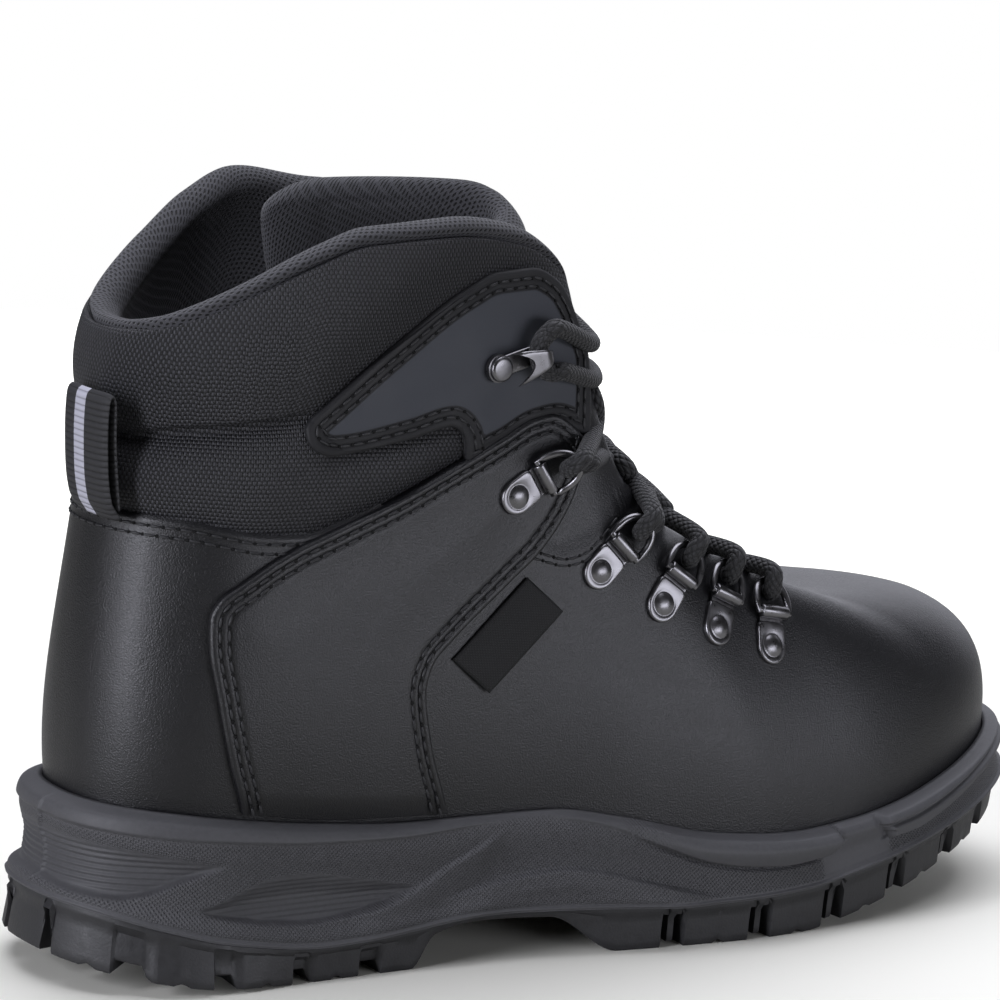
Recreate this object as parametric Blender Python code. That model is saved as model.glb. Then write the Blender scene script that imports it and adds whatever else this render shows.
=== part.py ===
"""Right-foot lace-up safety boot with a padded collar and lace rings.

The boot is put together as it is made. A hollow upper with the shape of the last stands in the cup
of a moulded midsole, which sits on a lugged outsole. A padded tongue fills the throat, leather
panels lie on the upper, and riveted rings and hooks hold the lace.

Sizes are millimetres until solid() turns them into metres. +X points at the toe, +Y at the inner
side of the foot and +Z up. x = 0 is the back of the sole and z = 0 the floor.
"""
import math
from collections import namedtuple

import bmesh
import bpy
import numpy as np

for old in list(bpy.data.objects):
    bpy.data.objects.remove(old, do_unlink=True)

# Driving sizes
SOLE_LENGTH = 285.0
UPPER_BACK = 9.0
UPPER_TIP = 277.0
TOE_SWING = 4.0
WALL = 2.6
COLLAR_PAD = 6.0
GAP = 0.3
FOOTBED_THICKNESS = 3.6
HEEL_ROUND = 36.0
TOE_ROUND = 60.0
ROUND_POWER = 2.25
CUP_GAP = 0.45
LOWER_PUFF = 1.6
UPPER_PUFF = 3.6
PANEL_THICKNESS = 1.2
PANEL_GAP = 0.95
LACE_RADIUS = 2.4
LACE_CLEAR = 0.8
RING_WIRE = 0.75
NOTCH_ROOF = 3.0
NOTCH_OUTSIDE = 14.0
NOTCH_FROM = 5.0
NOTCH_TAPER = 0.8
BELOW_FLOOR = -2.0
RECESS_DEPTH = 1.3
RECESS_CLEAR = 6.0
SWING_FROM = 150.0
PADDING_RISE = 25.0
LOW_ROLL_END = 108.0
LOW_ROLL_FADE = 30.0
HIGH_ROLL_END = 0.46
HIGH_ROLL_FADE = 0.14
PAD_END = 0.49
PAD_FADE = 0.1
ROLL_OVERRUN = 4.0
LEAST_ROLL = 6.0
SMOOTH_ANGLE = 35.0
METRE = 0.001

# Half widths of the upper's outline on the sole, outer and inner side of the foot
Plan = namedtuple("Plan", "x outer inner")
PLAN = (
    Plan(9, 31.0, 31.0),
    Plan(40, 31.5, 31.5),
    Plan(105, 34.5, 30.0),
    Plan(150, 42.0, 37.5),
    Plan(185, 46.0, 44.0),
    Plan(210, 45.5, 45.5),
    Plan(240, 42.0, 43.5),
    Plan(277, 38.0, 39.0),
)

# Heights along the side of the sole: rim of the cup, seam to the outsole, ground and footbed
Side = namedtuple("Side", "x rim seam ground bed")
SIDE = (
    Side(0, 47.0, 19.5, 7.5, 30.0),
    Side(10, 46.0, 18.0, 3.0, 30.0),
    Side(24, 44.2, 14.6, 0.0, 30.0),
    Side(36, 42.4, 12.0, 0.0, 29.5),
    Side(62, 38.8, 8.7, 0.0, 29.0),
    Side(86, 37.2, 10.6, 0.0, 28.0),
    Side(92, 37.2, 12.0, 8.2, 27.6),
    Side(104, 37.4, 14.4, 10.8, 26.5),
    Side(123, 37.8, 14.5, 10.2, 24.5),
    Side(141, 35.2, 11.8, 0.0, 21.6),
    Side(165, 29.8, 9.0, 0.0, 18.6),
    Side(192, 27.4, 9.6, 0.0, 17.9),
    Side(205, 27.8, 11.6, 1.2, 18.6),
    Side(224, 30.0, 15.4, 5.2, 20.6),
    Side(245, 34.2, 19.8, 10.4, 23.6),
    Side(266, 39.0, 24.4, 15.8, 26.6),
    Side(285, 43.0, 28.5, 21.0, 29.0),
)

# How far the sole stands out from the upper's outline, from the tread up to the rim
Flare = namedtuple("Flare", "share back heel waist ball toe")
FLARE_AT = (0.0, 0.26, 0.42, 0.6, 1.0)
FLARE = (
    Flare(0.0, 8.4, 5.6, 4.4, 5.0, 7.4),
    Flare(0.07, 9.0, 6.2, 5.0, 5.6, 8.0),
    Flare(0.2, 7.4, 5.0, 4.0, 5.0, 7.2),
    Flare(0.5, 6.2, 4.4, 3.2, 4.2, 6.2),
    Flare(0.78, 6.6, 5.0, 4.0, 4.6, 5.6),
    Flare(0.92, 5.2, 4.0, 3.4, 3.6, 4.4),
    Flare(1.0, 1.8, 1.6, 1.6, 1.6, 1.8),
)
TREAD_INSET = 1.6

# Top edge of the upper from the back of the collar, round its front corner and down the throat
# and how much higher it stands on the inner side
Edge = namedtuple("Edge", "s x y z inner")
EDGE = (
    Edge(0.0, 18.0, 0.0, 151.5, 0.0),
    Edge(0.1, 22.5, 15.5, 153.5, 0.0),
    Edge(0.2, 42.0, 30.0, 164.5, 2.0),
    Edge(0.25, 54.0, 32.8, 170.2, 5.0),
    Edge(0.3, 67.0, 34.0, 174.5, 6.0),
    Edge(0.38, 91.0, 33.0, 175.5, 1.5),
    Edge(0.44, 113.0, 29.0, 172.0, 0.0),
    Edge(0.485, 129.0, 24.5, 163.0, 0.0),
    Edge(0.525, 135.5, 21.5, 148.0, 0.0),
    Edge(0.57, 139.5, 20.0, 131.0, 0.0),
    Edge(0.62, 147.0, 19.0, 114.0, 0.0),
    Edge(0.68, 164.0, 18.0, 98.0, 0.0),
    Edge(0.74, 183.0, 16.5, 86.0, 0.0),
    Edge(0.8, 197.5, 13.5, 79.6, 0.0),
    Edge(0.88, 206.0, 7.5, 78.4, 0.0),
    Edge(1.0, 208.5, 0.0, 78.2, 0.0),
)

# Shape of the wall between the sole and that edge: squareness of its curve and how far it swells
# outwards low down and half way up
Column = namedtuple("Column", "s square low high")
COLUMN = (
    Column(0.0, 1.0, 1.6, 0.0),
    Column(0.2, 1.0, 3.0, -1.5),
    Column(0.3, 1.0, 3.0, -2.5),
    Column(0.42, 1.0, 2.5, -2.0),
    Column(0.5, 1.1, 2.0, -0.5),
    Column(0.58, 1.25, 2.0, 0.0),
    Column(0.66, 1.5, 1.5, 0.0),
    Column(0.75, 2.1, 0.8, 0.0),
    Column(0.88, 2.7, 0.4, 0.0),
    Column(1.0, 3.0, 0.3, 0.0),
)

LOW_SWELL_PEAK = 0.25 * 0.75**3

# Padding of the collar as seen from the side: seam to the leather, top of the lower roll and foot
# of the upper roll, which part where the eyestay panel lies flat between them
Padding = namedtuple("Padding", "x seam low_top high_foot")
PADDING = (
    Padding(8, 112.0, 129.0, 129.0),
    Padding(26, 111.0, 131.0, 131.5),
    Padding(45, 107.6, 132.0, 134.0),
    Padding(54, 107.2, 129.0, 137.0),
    Padding(64, 109.6, 126.5, 143.0),
    Padding(80, 115.0, 128.0, 154.0),
    Padding(95, 121.5, 130.0, 163.0),
    Padding(107, 127.5, 132.0, 166.5),
    Padding(118, 133.0, 135.0, 168.0),
    Padding(135, 141.0, 143.0, 170.0),
)

# Padded tongue from the toe end to its top: middle of the outer face, half width, how far the
# edges bend back into the boot, and padding
Tongue = namedtuple("Tongue", "x z half wrap thick")
TONGUE = (
    Tongue(216.0, 73.6, 15.0, 4.0, 3.0),
    Tongue(202.0, 76.6, 21.0, 7.0, 4.0),
    Tongue(186.0, 84.5, 25.0, 10.0, 6.0),
    Tongue(168.0, 97.0, 27.0, 13.0, 7.0),
    Tongue(151.5, 112.0, 28.0, 16.0, 8.0),
    Tongue(143.0, 130.0, 27.0, 20.0, 8.0),
    Tongue(138.5, 148.0, 25.5, 27.0, 9.0),
    Tongue(133.5, 163.0, 24.0, 42.0, 10.0),
    Tongue(130.0, 172.0, 23.0, 50.0, 10.0),
    Tongue(126.0, 180.0, 22.0, 54.0, 9.0),
)
TONGUE_TOP_LEAN = 0.06
TONGUE_CORNER = 0.055

# Notches between the lugs at the sole's edge: place along the edge, width and reach inwards
Notch = namedtuple("Notch", "x width reach")
NOTCH = (
    Notch(10.5, 5.5, 13.0),
    Notch(21.0, 5.5, 14.0),
    Notch(38.0, 5.0, 19.0),
    Notch(56.5, 5.0, 20.0),
    Notch(73.0, 5.0, 20.0),
    Notch(158.0, 5.0, 24.0),
    Notch(181.5, 5.5, 26.0),
    Notch(203.0, 5.5, 26.0),
    Notch(223.0, 5.0, 24.0),
    Notch(246.0, 5.0, 19.0),
    Notch(263.0, 4.5, 14.0),
)

# Grooves in the middle of the tread: two run along the sole, the others across between them
Groove = namedtuple("Groove", "x_from x_to y_from y_to roof")
GROOVE = (
    Groove(20.0, 96.0, -15.0, -11.0, 6.0),
    Groove(20.0, 96.0, 11.0, 15.0, 6.0),
    Groove(126.0, 232.0, -20.0, -16.0, 6.0),
    Groove(126.0, 232.0, 18.0, 22.0, 6.0),
    Groove(45.0, 49.0, -13.0, 13.0, 5.0),
    Groove(66.0, 70.0, -13.0, 13.0, 5.0),
    Groove(167.0, 171.5, -18.0, 20.0, 5.0),
    Groove(190.0, 194.5, -18.0, 20.0, 5.0),
    Groove(212.0, 216.5, -18.0, 20.0, 6.5),
)

# Hollows in the side of the midsole, as shares of its height: the long lens behind the waist and
# the gap between the forefoot band and the toe bumper
Recess = namedtuple("Recess", "x low high")
RECESSES = {
    "lens": (
        Recess(27.0, 0.24, 0.3),
        Recess(35.0, 0.17, 0.44),
        Recess(45.0, 0.15, 0.58),
        Recess(54.0, 0.16, 0.63),
        Recess(63.0, 0.2, 0.63),
        Recess(74.0, 0.28, 0.56),
        Recess(85.0, 0.4, 0.45),
    ),
    "band_gap": (
        Recess(205.0, 0.42, 0.88),
        Recess(212.0, 0.42, 0.88),
        Recess(221.0, 0.42, 0.88),
    ),
}

# Side panel of leather: its four edges as seen from the side
Spot = namedtuple("Spot", "x z")
Edges = namedtuple("Edges", "rear top front low")
QUARTER_REAR = (
    Spot(40.0, 43.4),
    Spot(35.8, 55.5),
    Spot(32.8, 70.0),
    Spot(31.0, 84.5),
    Spot(32.6, 92.4),
    Spot(38.4, 96.8),
    Spot(45.6, 101.4),
    Spot(53.0, 105.2),
)
QUARTER_TOP = (
    Spot(53.0, 105.2),
    Spot(79.4, 114.9),
    Spot(107.3, 127.3),
    Spot(117.0, 131.4),
    Spot(122.0, 132.0),
    Spot(127.0, 129.6),
    Spot(133.0, 124.0),
)
QUARTER_FRONT = (
    Spot(95.2, 38.6),
    Spot(88.6, 56.0),
    Spot(86.8, 68.0),
    Spot(88.6, 74.2),
    Spot(94.0, 79.8),
    Spot(110.6, 92.8),
    Spot(127.6, 110.8),
    Spot(133.0, 124.0),
)
QUARTER_LOW = (Spot(40.0, 43.4), Spot(67.0, 39.4), Spot(95.2, 38.6))
QUARTER_EDGES = Edges(QUARTER_REAR, QUARTER_TOP, QUARTER_FRONT, QUARTER_LOW)

# Eyestay panel on the collar, from its rear tip to the throat
EYESTAY_REAR = (Spot(55.0, 129.0), Spot(54.0, 132.0))
EYESTAY_TOP = (
    Spot(54.0, 132.0),
    Spot(62.4, 141.0),
    Spot(75.6, 151.2),
    Spot(94.7, 163.6),
    Spot(104.6, 167.0),
    Spot(115.0, 167.2),
    Spot(124.0, 163.4),
    Spot(128.5, 158.0),
)
EYESTAY_FRONT = (Spot(134.0, 128.0), Spot(134.4, 143.0), Spot(128.5, 158.0))
EYESTAY_LOW = (
    Spot(55.0, 129.0),
    Spot(61.0, 125.8),
    Spot(81.3, 128.4),
    Spot(93.0, 131.0),
    Spot(96.6, 128.0),
    Spot(98.4, 124.8),
    Spot(107.3, 128.7),
    Spot(117.0, 132.8),
    Spot(122.5, 133.5),
    Spot(128.5, 131.0),
    Spot(134.0, 128.0),
)
EYESTAY_EDGES = Edges(EYESTAY_REAR, EYESTAY_TOP, EYESTAY_FRONT, EYESTAY_LOW)

# Cloth tag sewn under the front edge of the side panel, by its corners
TAG_CORNERS = (Spot(96.6, 75.6), Spot(115.6, 91.0), Spot(124.6, 82.6), Spot(105.4, 67.0))
TAG_THICKNESS = 0.8

# Lace rings from the toe end up, then the hook: rivet as seen from the side, the way the ring
# points in degrees above level, and the panel that is under it
Fastener = namedtuple("Fastener", "name x z aim under")
FASTENERS = (
    Fastener("ring_1", 185.6, 72.4, 81.0, 0.0),
    Fastener("ring_2", 169.4, 77.4, 64.0, 0.0),
    Fastener("ring_3", 153.5, 83.7, 54.0, 0.0),
    Fastener("ring_4", 136.2, 92.6, 45.0, 0.0),
    Fastener("ring_5", 113.4, 113.2, 29.0, 1.0),
    Fastener("hook", 105.6, 143.8, 13.5, 1.0),
)
PLATE_RADIUS = 4.5
PLATE_FRONT = 7.6
PLATE_HALF_WIDTH = 4.3
PLATE_SHEET = 0.9
DOME_RADIUS = 2.9
DOME_HEIGHT = 1.5
RING_BAR = 8.4
RING_BAR_HEIGHT = 2.15
RING_HALF_WIDTH = 5.2
RING_REACH = 9.2
RING_CLEAR = 1.8
FOLD_SHEET = 0.75
FOLD_HALF_WIDTH = 3.9
FOLD_ROOT = 2.0
FOLD_INNER = 1.2
FOLD_END = 190.0
HOOK_BEND = 8.6
HOOK_HEIGHT = 3.95
HOOK_INNER = 3.0
HOOK_END = 140.0
LACE_EDGE_CLEAR = 2.4
LACE_SPREAD = 3.4

# Pull loop at the back: path of the webbing from the collar seam up, over and down again
LOOP_PATH = (
    Spot(12.2, 113.6),
    Spot(10.2, 116.0),
    Spot(9.0, 123.0),
    Spot(8.7, 132.0),
    Spot(9.3, 138.2),
    Spot(10.6, 140.0),
    Spot(11.8, 138.2),
    Spot(12.1, 130.0),
    Spot(12.2, 120.0),
)
LOOP_MIDDLE = -6.5
LOOP_WIDTH = 17.5
LOOP_SHEET = 1.3

OUTER, INNER = -1.0, 1.0
SIDE_NAMES = {OUTER: "outer", INNER: "inner"}


def column(table, name):
    """One named column of a table as an array."""
    return np.array([getattr(row, name) for row in table], float)


def curve(xs, ys, at):
    """Smooth curve through a table's values that never swings past them."""
    xs, ys = np.asarray(xs, float), np.asarray(ys, float)
    step = np.diff(xs)
    slope = np.diff(ys) / step
    before, after = slope[:-1], slope[1:]
    heavy = 2 * step[1:] + step[:-1]
    light = step[1:] + 2 * step[:-1]
    same = before * after > 0
    mean = np.zeros(len(xs))
    mean[1:-1][same] = (heavy + light)[same] / (heavy[same] / before[same] + light[same] / after[same])
    mean[0], mean[-1] = slope[0], slope[-1]
    at = np.clip(np.asarray(at, float), xs[0], xs[-1])
    k = np.clip(np.searchsorted(xs, at, side="right") - 1, 0, len(xs) - 2)
    u = (at - xs[k]) / step[k]
    return (
        ys[k] * (1 + 2 * u) * (1 - u) ** 2
        + ys[k + 1] * u**2 * (3 - 2 * u)
        + step[k] * u * (1 - u) * (mean[k] * (1 - u) - mean[k + 1] * u)
    )


def look_up(table, key, name, at):
    return curve(column(table, key), column(table, name), at)


def ease(u):
    """Rise from 0 to 1 with level ends."""
    u = np.clip(u, 0.0, 1.0)
    return u * u * (3 - 2 * u)


def wrap(turn):
    """Keep the place round the boot between -1 and 1: 0 is the heel, -1 and 1 the toe, < 0 outside."""
    return (np.asarray(turn, float) + 1.0) % 2.0 - 1.0


def rounded_end(distance, length):
    return (1 - (1 - np.clip(distance / length, 0, 1)) ** ROUND_POWER) ** (1 / ROUND_POWER)


def outline(turn):
    """Point of the upper's outline on the sole, seen from above."""
    turn = wrap(turn)
    x = UPPER_BACK + (UPPER_TIP - UPPER_BACK) * (1 - np.cos(np.pi * turn)) / 2
    half = np.where(turn < 0, -look_up(PLAN, "x", "outer", x), look_up(PLAN, "x", "inner", x))
    ends = rounded_end(x - UPPER_BACK, HEEL_ROUND) * rounded_end(UPPER_TIP - x, TOE_ROUND)
    swing = TOE_SWING * ease((x - SWING_FROM) / (UPPER_TIP - SWING_FROM))
    return np.stack([x, swing + half * ends], -1)


def outward(turn):
    """Direction out of that outline, level."""
    small = 1e-3
    along = outline(turn + small) - outline(turn - small)
    along /= np.linalg.norm(along, axis=-1, keepdims=True)
    return np.stack([-along[..., 1], along[..., 0]], -1)


def grown_outline(turn, grow):
    return outline(turn) + outward(turn) * np.asarray(grow)[..., None]


def sole_height(turn, name):
    return look_up(SIDE, "x", name, outline(turn)[..., 0])


def top_edge(turn):
    turn = wrap(turn)
    s = np.abs(turn)
    y = look_up(EDGE, "s", "y", s) * np.sign(turn)
    z = look_up(EDGE, "s", "z", s) + look_up(EDGE, "s", "inner", s) * (turn > 0)
    return np.stack([look_up(EDGE, "s", "x", s), y, z], -1)


def puff(x, z, top, s):
    """How far the padded collar swells out above its seam, in two rolls."""
    seam = look_up(PADDING, "x", "seam", x)
    low_top = look_up(PADDING, "x", "low_top", x)
    foot = look_up(PADDING, "x", "high_foot", x)
    low = np.sin(np.pi * np.clip((z - seam) / (low_top - seam), 0, 1))
    roll = np.maximum(top - foot, LEAST_ROLL) + ROLL_OVERRUN
    high = np.sin(np.pi * np.clip((z - foot) / roll, 0, 1)) ** 0.8
    low_fade = ease((LOW_ROLL_END - x) / LOW_ROLL_FADE)
    high_fade = ease((HIGH_ROLL_END - s) / HIGH_ROLL_FADE)
    return LOWER_PUFF * low * low_fade + UPPER_PUFF * high * high_fade


def upper_point(turn, rise):
    """Outer face of the upper: turn goes round the boot, rise from the sole's rim (0) to the edge (1)."""
    turn, rise = np.broadcast_arrays(wrap(turn), np.asarray(rise, float))
    s = np.abs(turn)
    foot = outline(turn)
    edge = top_edge(turn)
    base = sole_height(turn, "rim")
    square = look_up(COLUMN, "s", "square", s)
    flat = np.arcsin(np.sqrt(np.clip(rise, 0, 1)))
    mix = np.clip(square - 1, 0, 1)
    angle = (1 - mix) * flat + mix * rise * np.pi / 2
    up = np.sin(angle) ** (2 / square)
    across = 1 - np.clip(np.cos(angle), 0, 1) ** (2 / square)
    z = base + (edge[..., 2] - base) * up
    level = foot + (edge[..., :2] - foot) * across[..., None]
    low = look_up(COLUMN, "s", "low", s) * rise * (1 - rise) ** 3 / LOW_SWELL_PEAK
    high = look_up(COLUMN, "s", "high", s) * (4 * rise * (1 - rise)) ** 2
    swell = low + high + puff(level[..., 0], z, edge[..., 2], s)
    level = level + outward(turn) * swell[..., None]
    return np.concatenate([level, z[..., None]], -1)


def upper_normal(turn, rise):
    small = 2e-3
    low = np.clip(np.asarray(rise, float) - small, 0, 1)
    high = np.clip(np.asarray(rise, float) + small, 0, 1)
    along = upper_point(np.asarray(turn) + small, rise) - upper_point(np.asarray(turn) - small, rise)
    climb = upper_point(turn, high) - upper_point(turn, low)
    normal = np.cross(climb, along)
    return normal / np.linalg.norm(normal, axis=-1, keepdims=True)


def on_upper(turn, rise, lift):
    return upper_point(turn, rise) + upper_normal(turn, rise) * np.asarray(lift)[..., None]


def locate(x, z, side):
    """Place on the upper that shows at x, z from the side."""
    x, z = np.asarray(x, float), np.asarray(z, float)
    share = (x - UPPER_BACK) / (UPPER_TIP - UPPER_BACK)
    turn = side * np.arccos(1 - 2 * np.clip(share, 0.01, 0.99)) / np.pi
    rise = np.full_like(x, 0.5)
    small, damping = 1e-3, 0.7
    for _ in range(40):
        here = upper_point(turn, rise)
        by_turn = (upper_point(turn + small, rise) - here) / small
        by_rise = (upper_point(turn, rise + small) - here) / small
        miss_x, miss_z = x - here[..., 0], z - here[..., 2]
        whole = by_turn[..., 0] * by_rise[..., 2] - by_rise[..., 0] * by_turn[..., 2]
        turn = turn + damping * (miss_x * by_rise[..., 2] - miss_z * by_rise[..., 0]) / whole
        rise = rise + damping * (by_turn[..., 0] * miss_z - by_turn[..., 2] * miss_x) / whole
        rise = np.clip(rise, 0.004, 0.985)
    return turn, rise


def wall_thickness(turn, rise):
    """Leather and lining, with the collar's padding above its seam."""
    point = upper_point(turn, rise)
    s = np.abs(wrap(turn))
    seam = look_up(PADDING, "x", "seam", point[..., 0])
    return WALL + COLLAR_PAD * ease((point[..., 2] - seam) / PADDING_RISE) * ease((PAD_END - s) / PAD_FADE)


def loop_turns(half_count, stations=()):
    """Places round the boot: even steps each side, and the x stations that have to be met."""
    half = np.linspace(0, 1, half_count + 1)
    share = (np.array(stations, float) - UPPER_BACK) / (UPPER_TIP - UPPER_BACK)
    for place in np.arccos(1 - 2 * share) / np.pi:
        nearest = 1 + int(np.argmin(np.abs(half[1:-1] - place)))
        half[nearest] = place
    return np.concatenate([-half[::-1], half[1:-1]])


def ring_faces(rows, count, closed_rows=False):
    """Quads of a grid whose rows run round the boot."""
    faces = []
    last = rows if closed_rows else rows - 1
    for row in range(last):
        low, high = row * count, ((row + 1) % rows) * count
        for k in range(count):
            after = (k + 1) % count
            faces.append((low + k, low + after, high + after, high + k))
    return faces


def strip_faces(start, count):
    """Fill a loop that runs toe, outer side, heel, inner side with strips across the boot."""
    faces = []
    for k in range(count // 2):
        corners = [start + k, start + k + 1, start + count - k - 1, start + (count - k) % count]
        faces.append(tuple(dict.fromkeys(corners)))
    return faces


def material(name, colour, roughness, metallic=0.0):
    made = bpy.data.materials.new(name)
    made.use_nodes = True
    shader = made.node_tree.nodes["Principled BSDF"]
    shader.inputs["Base Color"].default_value = (*colour, 1.0)
    shader.inputs["Roughness"].default_value = roughness
    shader.inputs["Metallic"].default_value = metallic
    return made


LEATHER = material("black_leather", (0.018, 0.019, 0.021), 0.42)
NUBUCK = material("grey_nubuck", (0.036, 0.039, 0.047), 0.85)
FOAM = material("midsole_foam", (0.03, 0.03, 0.032), 0.7)
RUBBER = material("outsole_rubber", (0.012, 0.012, 0.013), 0.6)
KNIT = material("tongue_knit", (0.01, 0.01, 0.011), 0.95)
INSOLE_FOAM = material("insole_foam", (0.015, 0.015, 0.016), 0.95)
WEBBING = material("loop_webbing", (0.012, 0.012, 0.013), 0.85)
LACE_BRAID = material("lace_braid", (0.01, 0.01, 0.011), 0.8)
STEEL = material("gunmetal_steel", (0.36, 0.36, 0.38), 0.25, 1.0)


def to_frame(points):
    """Millimetres from the back of the sole to metres from the middle of the boot."""
    moved = np.asarray(points, float) - np.array([SOLE_LENGTH / 2, MIDDLE_Y, 0.0])
    return moved * METRE


def solid(name, points, faces, finish, smooth=True):
    """One closed mesh object with its faces pointing out."""
    mesh = bpy.data.meshes.new(name)
    mesh.from_pydata([tuple(p) for p in to_frame(points)], [], faces)
    work = bmesh.new()
    work.from_mesh(mesh)
    bmesh.ops.recalc_face_normals(work, faces=work.faces)
    work.to_mesh(mesh)
    work.free()
    if smooth:
        mesh.shade_smooth()
        mesh.set_sharp_from_angle(angle=math.radians(SMOOTH_ANGLE))
    mesh.materials.append(finish)
    made = bpy.data.objects.new(name, mesh)
    bpy.context.scene.collection.objects.link(made)
    return made


def flare(turn, share):
    """How far the midsole's side stands out at a share of its height."""
    s = np.abs(wrap(turn))
    names = ("back", "heel", "waist", "ball", "toe")
    total = np.zeros_like(s)
    shares = column(FLARE, "share")
    station_values = [curve(shares, column(FLARE, name), share) for name in names]
    for k, place in enumerate(s):
        total[k] = curve(FLARE_AT, [value[k] for value in station_values], place)
    return total


def midsole_ring(turn, share):
    share = np.full_like(turn, share)
    low = sole_height(turn, "seam") + GAP / 2
    high = sole_height(turn, "rim")
    level = grown_outline(turn, flare(turn, share))
    return np.column_stack([level, low + (high - low) * share])


def flat_ring(turn, grow, height):
    return np.column_stack([grown_outline(turn, np.full_like(turn, grow)), height])


SOLE_TURNS = loop_turns(40, stations=(86, 92, 104, 123, 141, 192))
SOLE_COUNT = len(SOLE_TURNS)
sole_widths = grown_outline(SOLE_TURNS, flare(SOLE_TURNS, np.full_like(SOLE_TURNS, 0.07)))[:, 1]
MIDDLE_Y = (sole_widths.min() + sole_widths.max()) / 2


def row_rises(turns, leather_rows, low_rows, high_rows):
    """Rows of the upper's mesh: in the collar they keep to its seam and the foot of its upper roll."""
    total = leather_rows + low_rows + high_rows
    even = np.linspace(0, 1, total + 1)
    samples = np.linspace(0, 1, 201)
    rises = np.empty((total + 1, len(turns)))
    for k, turn in enumerate(turns):
        line = upper_point(np.full_like(samples, turn), samples)
        over_seam = line[:, 2] - look_up(PADDING, "x", "seam", line[:, 0])
        over_foot = line[:, 2] - look_up(PADDING, "x", "high_foot", line[:, 0])
        seam, foot = np.interp(0, over_seam, samples), np.interp(0, over_foot, samples)
        foot = max(min(foot, 0.9), seam + 0.05)
        knots = (0, leather_rows, leather_rows + low_rows, total)
        kept = np.interp(np.arange(total + 1), knots, (0, seam, foot, 1))
        mix = ease((abs(turn) - 0.36) / 0.1)
        rises[:, k] = kept * (1 - mix) + even * mix
    return rises


def make_upper(half_count=26, rim_steps=3):
    """Hollow upper: skirt in the sole's cup, outer face, rolled edge, inner face, open below."""
    turns = loop_turns(half_count)
    bed = sole_height(turns, "bed") + GAP
    rings = [flat_ring(turns, 0.0, bed)]
    for rise in row_rises(turns, 6, 3, 4):
        rings.append(upper_point(turns, rise))
    whole = np.ones_like(turns)
    thick = wall_thickness(turns, whole)
    outer, normal = upper_point(turns, whole), upper_normal(turns, whole)
    climb = outer - upper_point(turns, whole - 0.02)
    climb /= np.linalg.norm(climb, axis=1, keepdims=True)
    for angle in np.linspace(0, np.pi, rim_steps + 2)[1:-1]:
        half = thick[:, None] / 2
        rings.append(outer + normal * half * (math.cos(angle) - 1) + climb * half * math.sin(angle))
    for rise in row_rises(turns, 3, 2, 2)[::-1]:
        rings.append(on_upper(turns, rise, -wall_thickness(turns, rise)))
    rings.append(flat_ring(turns, -WALL, bed))
    faces = ring_faces(len(rings), len(turns), closed_rows=True)
    return solid("upper", np.concatenate(rings), faces, LEATHER)


def make_midsole():
    rings = [midsole_ring(SOLE_TURNS, share) for share in column(FLARE, "share")]
    rings.append(flat_ring(SOLE_TURNS, CUP_GAP, sole_height(SOLE_TURNS, "rim")))
    rings.append(flat_ring(SOLE_TURNS, CUP_GAP, sole_height(SOLE_TURNS, "bed")))
    faces = ring_faces(len(rings), SOLE_COUNT)
    faces += strip_faces(0, SOLE_COUNT)
    faces += strip_faces((len(rings) - 1) * SOLE_COUNT, SOLE_COUNT)
    midsole = solid("midsole", np.concatenate(rings), faces, FOAM)
    for side in (OUTER, INNER):
        for name, table in RECESSES.items():
            cut(midsole, recess_cutter(name, table, side))
    return midsole


def make_outsole():
    seam = sole_height(SOLE_TURNS, "seam") - GAP / 2
    ground = sole_height(SOLE_TURNS, "ground")
    lip = flare(SOLE_TURNS, np.zeros_like(SOLE_TURNS))
    top = np.column_stack([grown_outline(SOLE_TURNS, lip), seam])
    bottom = np.column_stack([grown_outline(SOLE_TURNS, lip - TREAD_INSET), ground])
    faces = ring_faces(2, SOLE_COUNT) + strip_faces(0, SOLE_COUNT) + strip_faces(SOLE_COUNT, SOLE_COUNT)
    outsole = solid("outsole", np.concatenate([top, bottom]), faces, RUBBER)
    cut(outsole, tread_cutter())
    return outsole


def make_insole():
    turns = loop_turns(24)
    bed = sole_height(turns, "bed") + GAP
    inset = -WALL - 2 * GAP
    rings = [flat_ring(turns, inset, bed), flat_ring(turns, inset, bed + FOOTBED_THICKNESS)]
    faces = ring_faces(2, len(turns)) + strip_faces(0, len(turns)) + strip_faces(len(turns), len(turns))
    return solid("insole", np.concatenate(rings), faces, INSOLE_FOAM)


def tongue_face(along, across, depth):
    """Point of the tongue: along from the toe end (0) to the top (1), across from -1 to 1."""
    place = np.linspace(0, 1, len(TONGUE))
    read = {name: curve(place, column(TONGUE, name), along) for name in Tongue._fields}
    small = 1e-3
    ahead, behind = np.clip(along + small, 0, 1), np.clip(along - small, 0, 1)
    run = curve(place, column(TONGUE, "x"), ahead) - curve(place, column(TONGUE, "x"), behind)
    climb = curve(place, column(TONGUE, "z"), ahead) - curve(place, column(TONGUE, "z"), behind)
    length = np.hypot(run, climb)
    level = ease((along - 0.55) / 0.35)
    lean = run / length * (1 - level) + TONGUE_TOP_LEAN * level
    inward = np.stack([-climb / length, np.zeros_like(length), lean], -1)
    bend = across * np.pi / 2
    back = read["wrap"] * (1 - np.cos(bend))
    middle = np.stack([read["x"], read["half"] * np.sin(bend), read["z"]], -1)
    face_in = inward * np.cos(bend)[..., None] + np.array([0, -1.0, 0]) * np.sin(bend)[..., None]
    return middle + inward * back[..., None] + face_in * (depth * read["thick"])[..., None]


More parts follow.
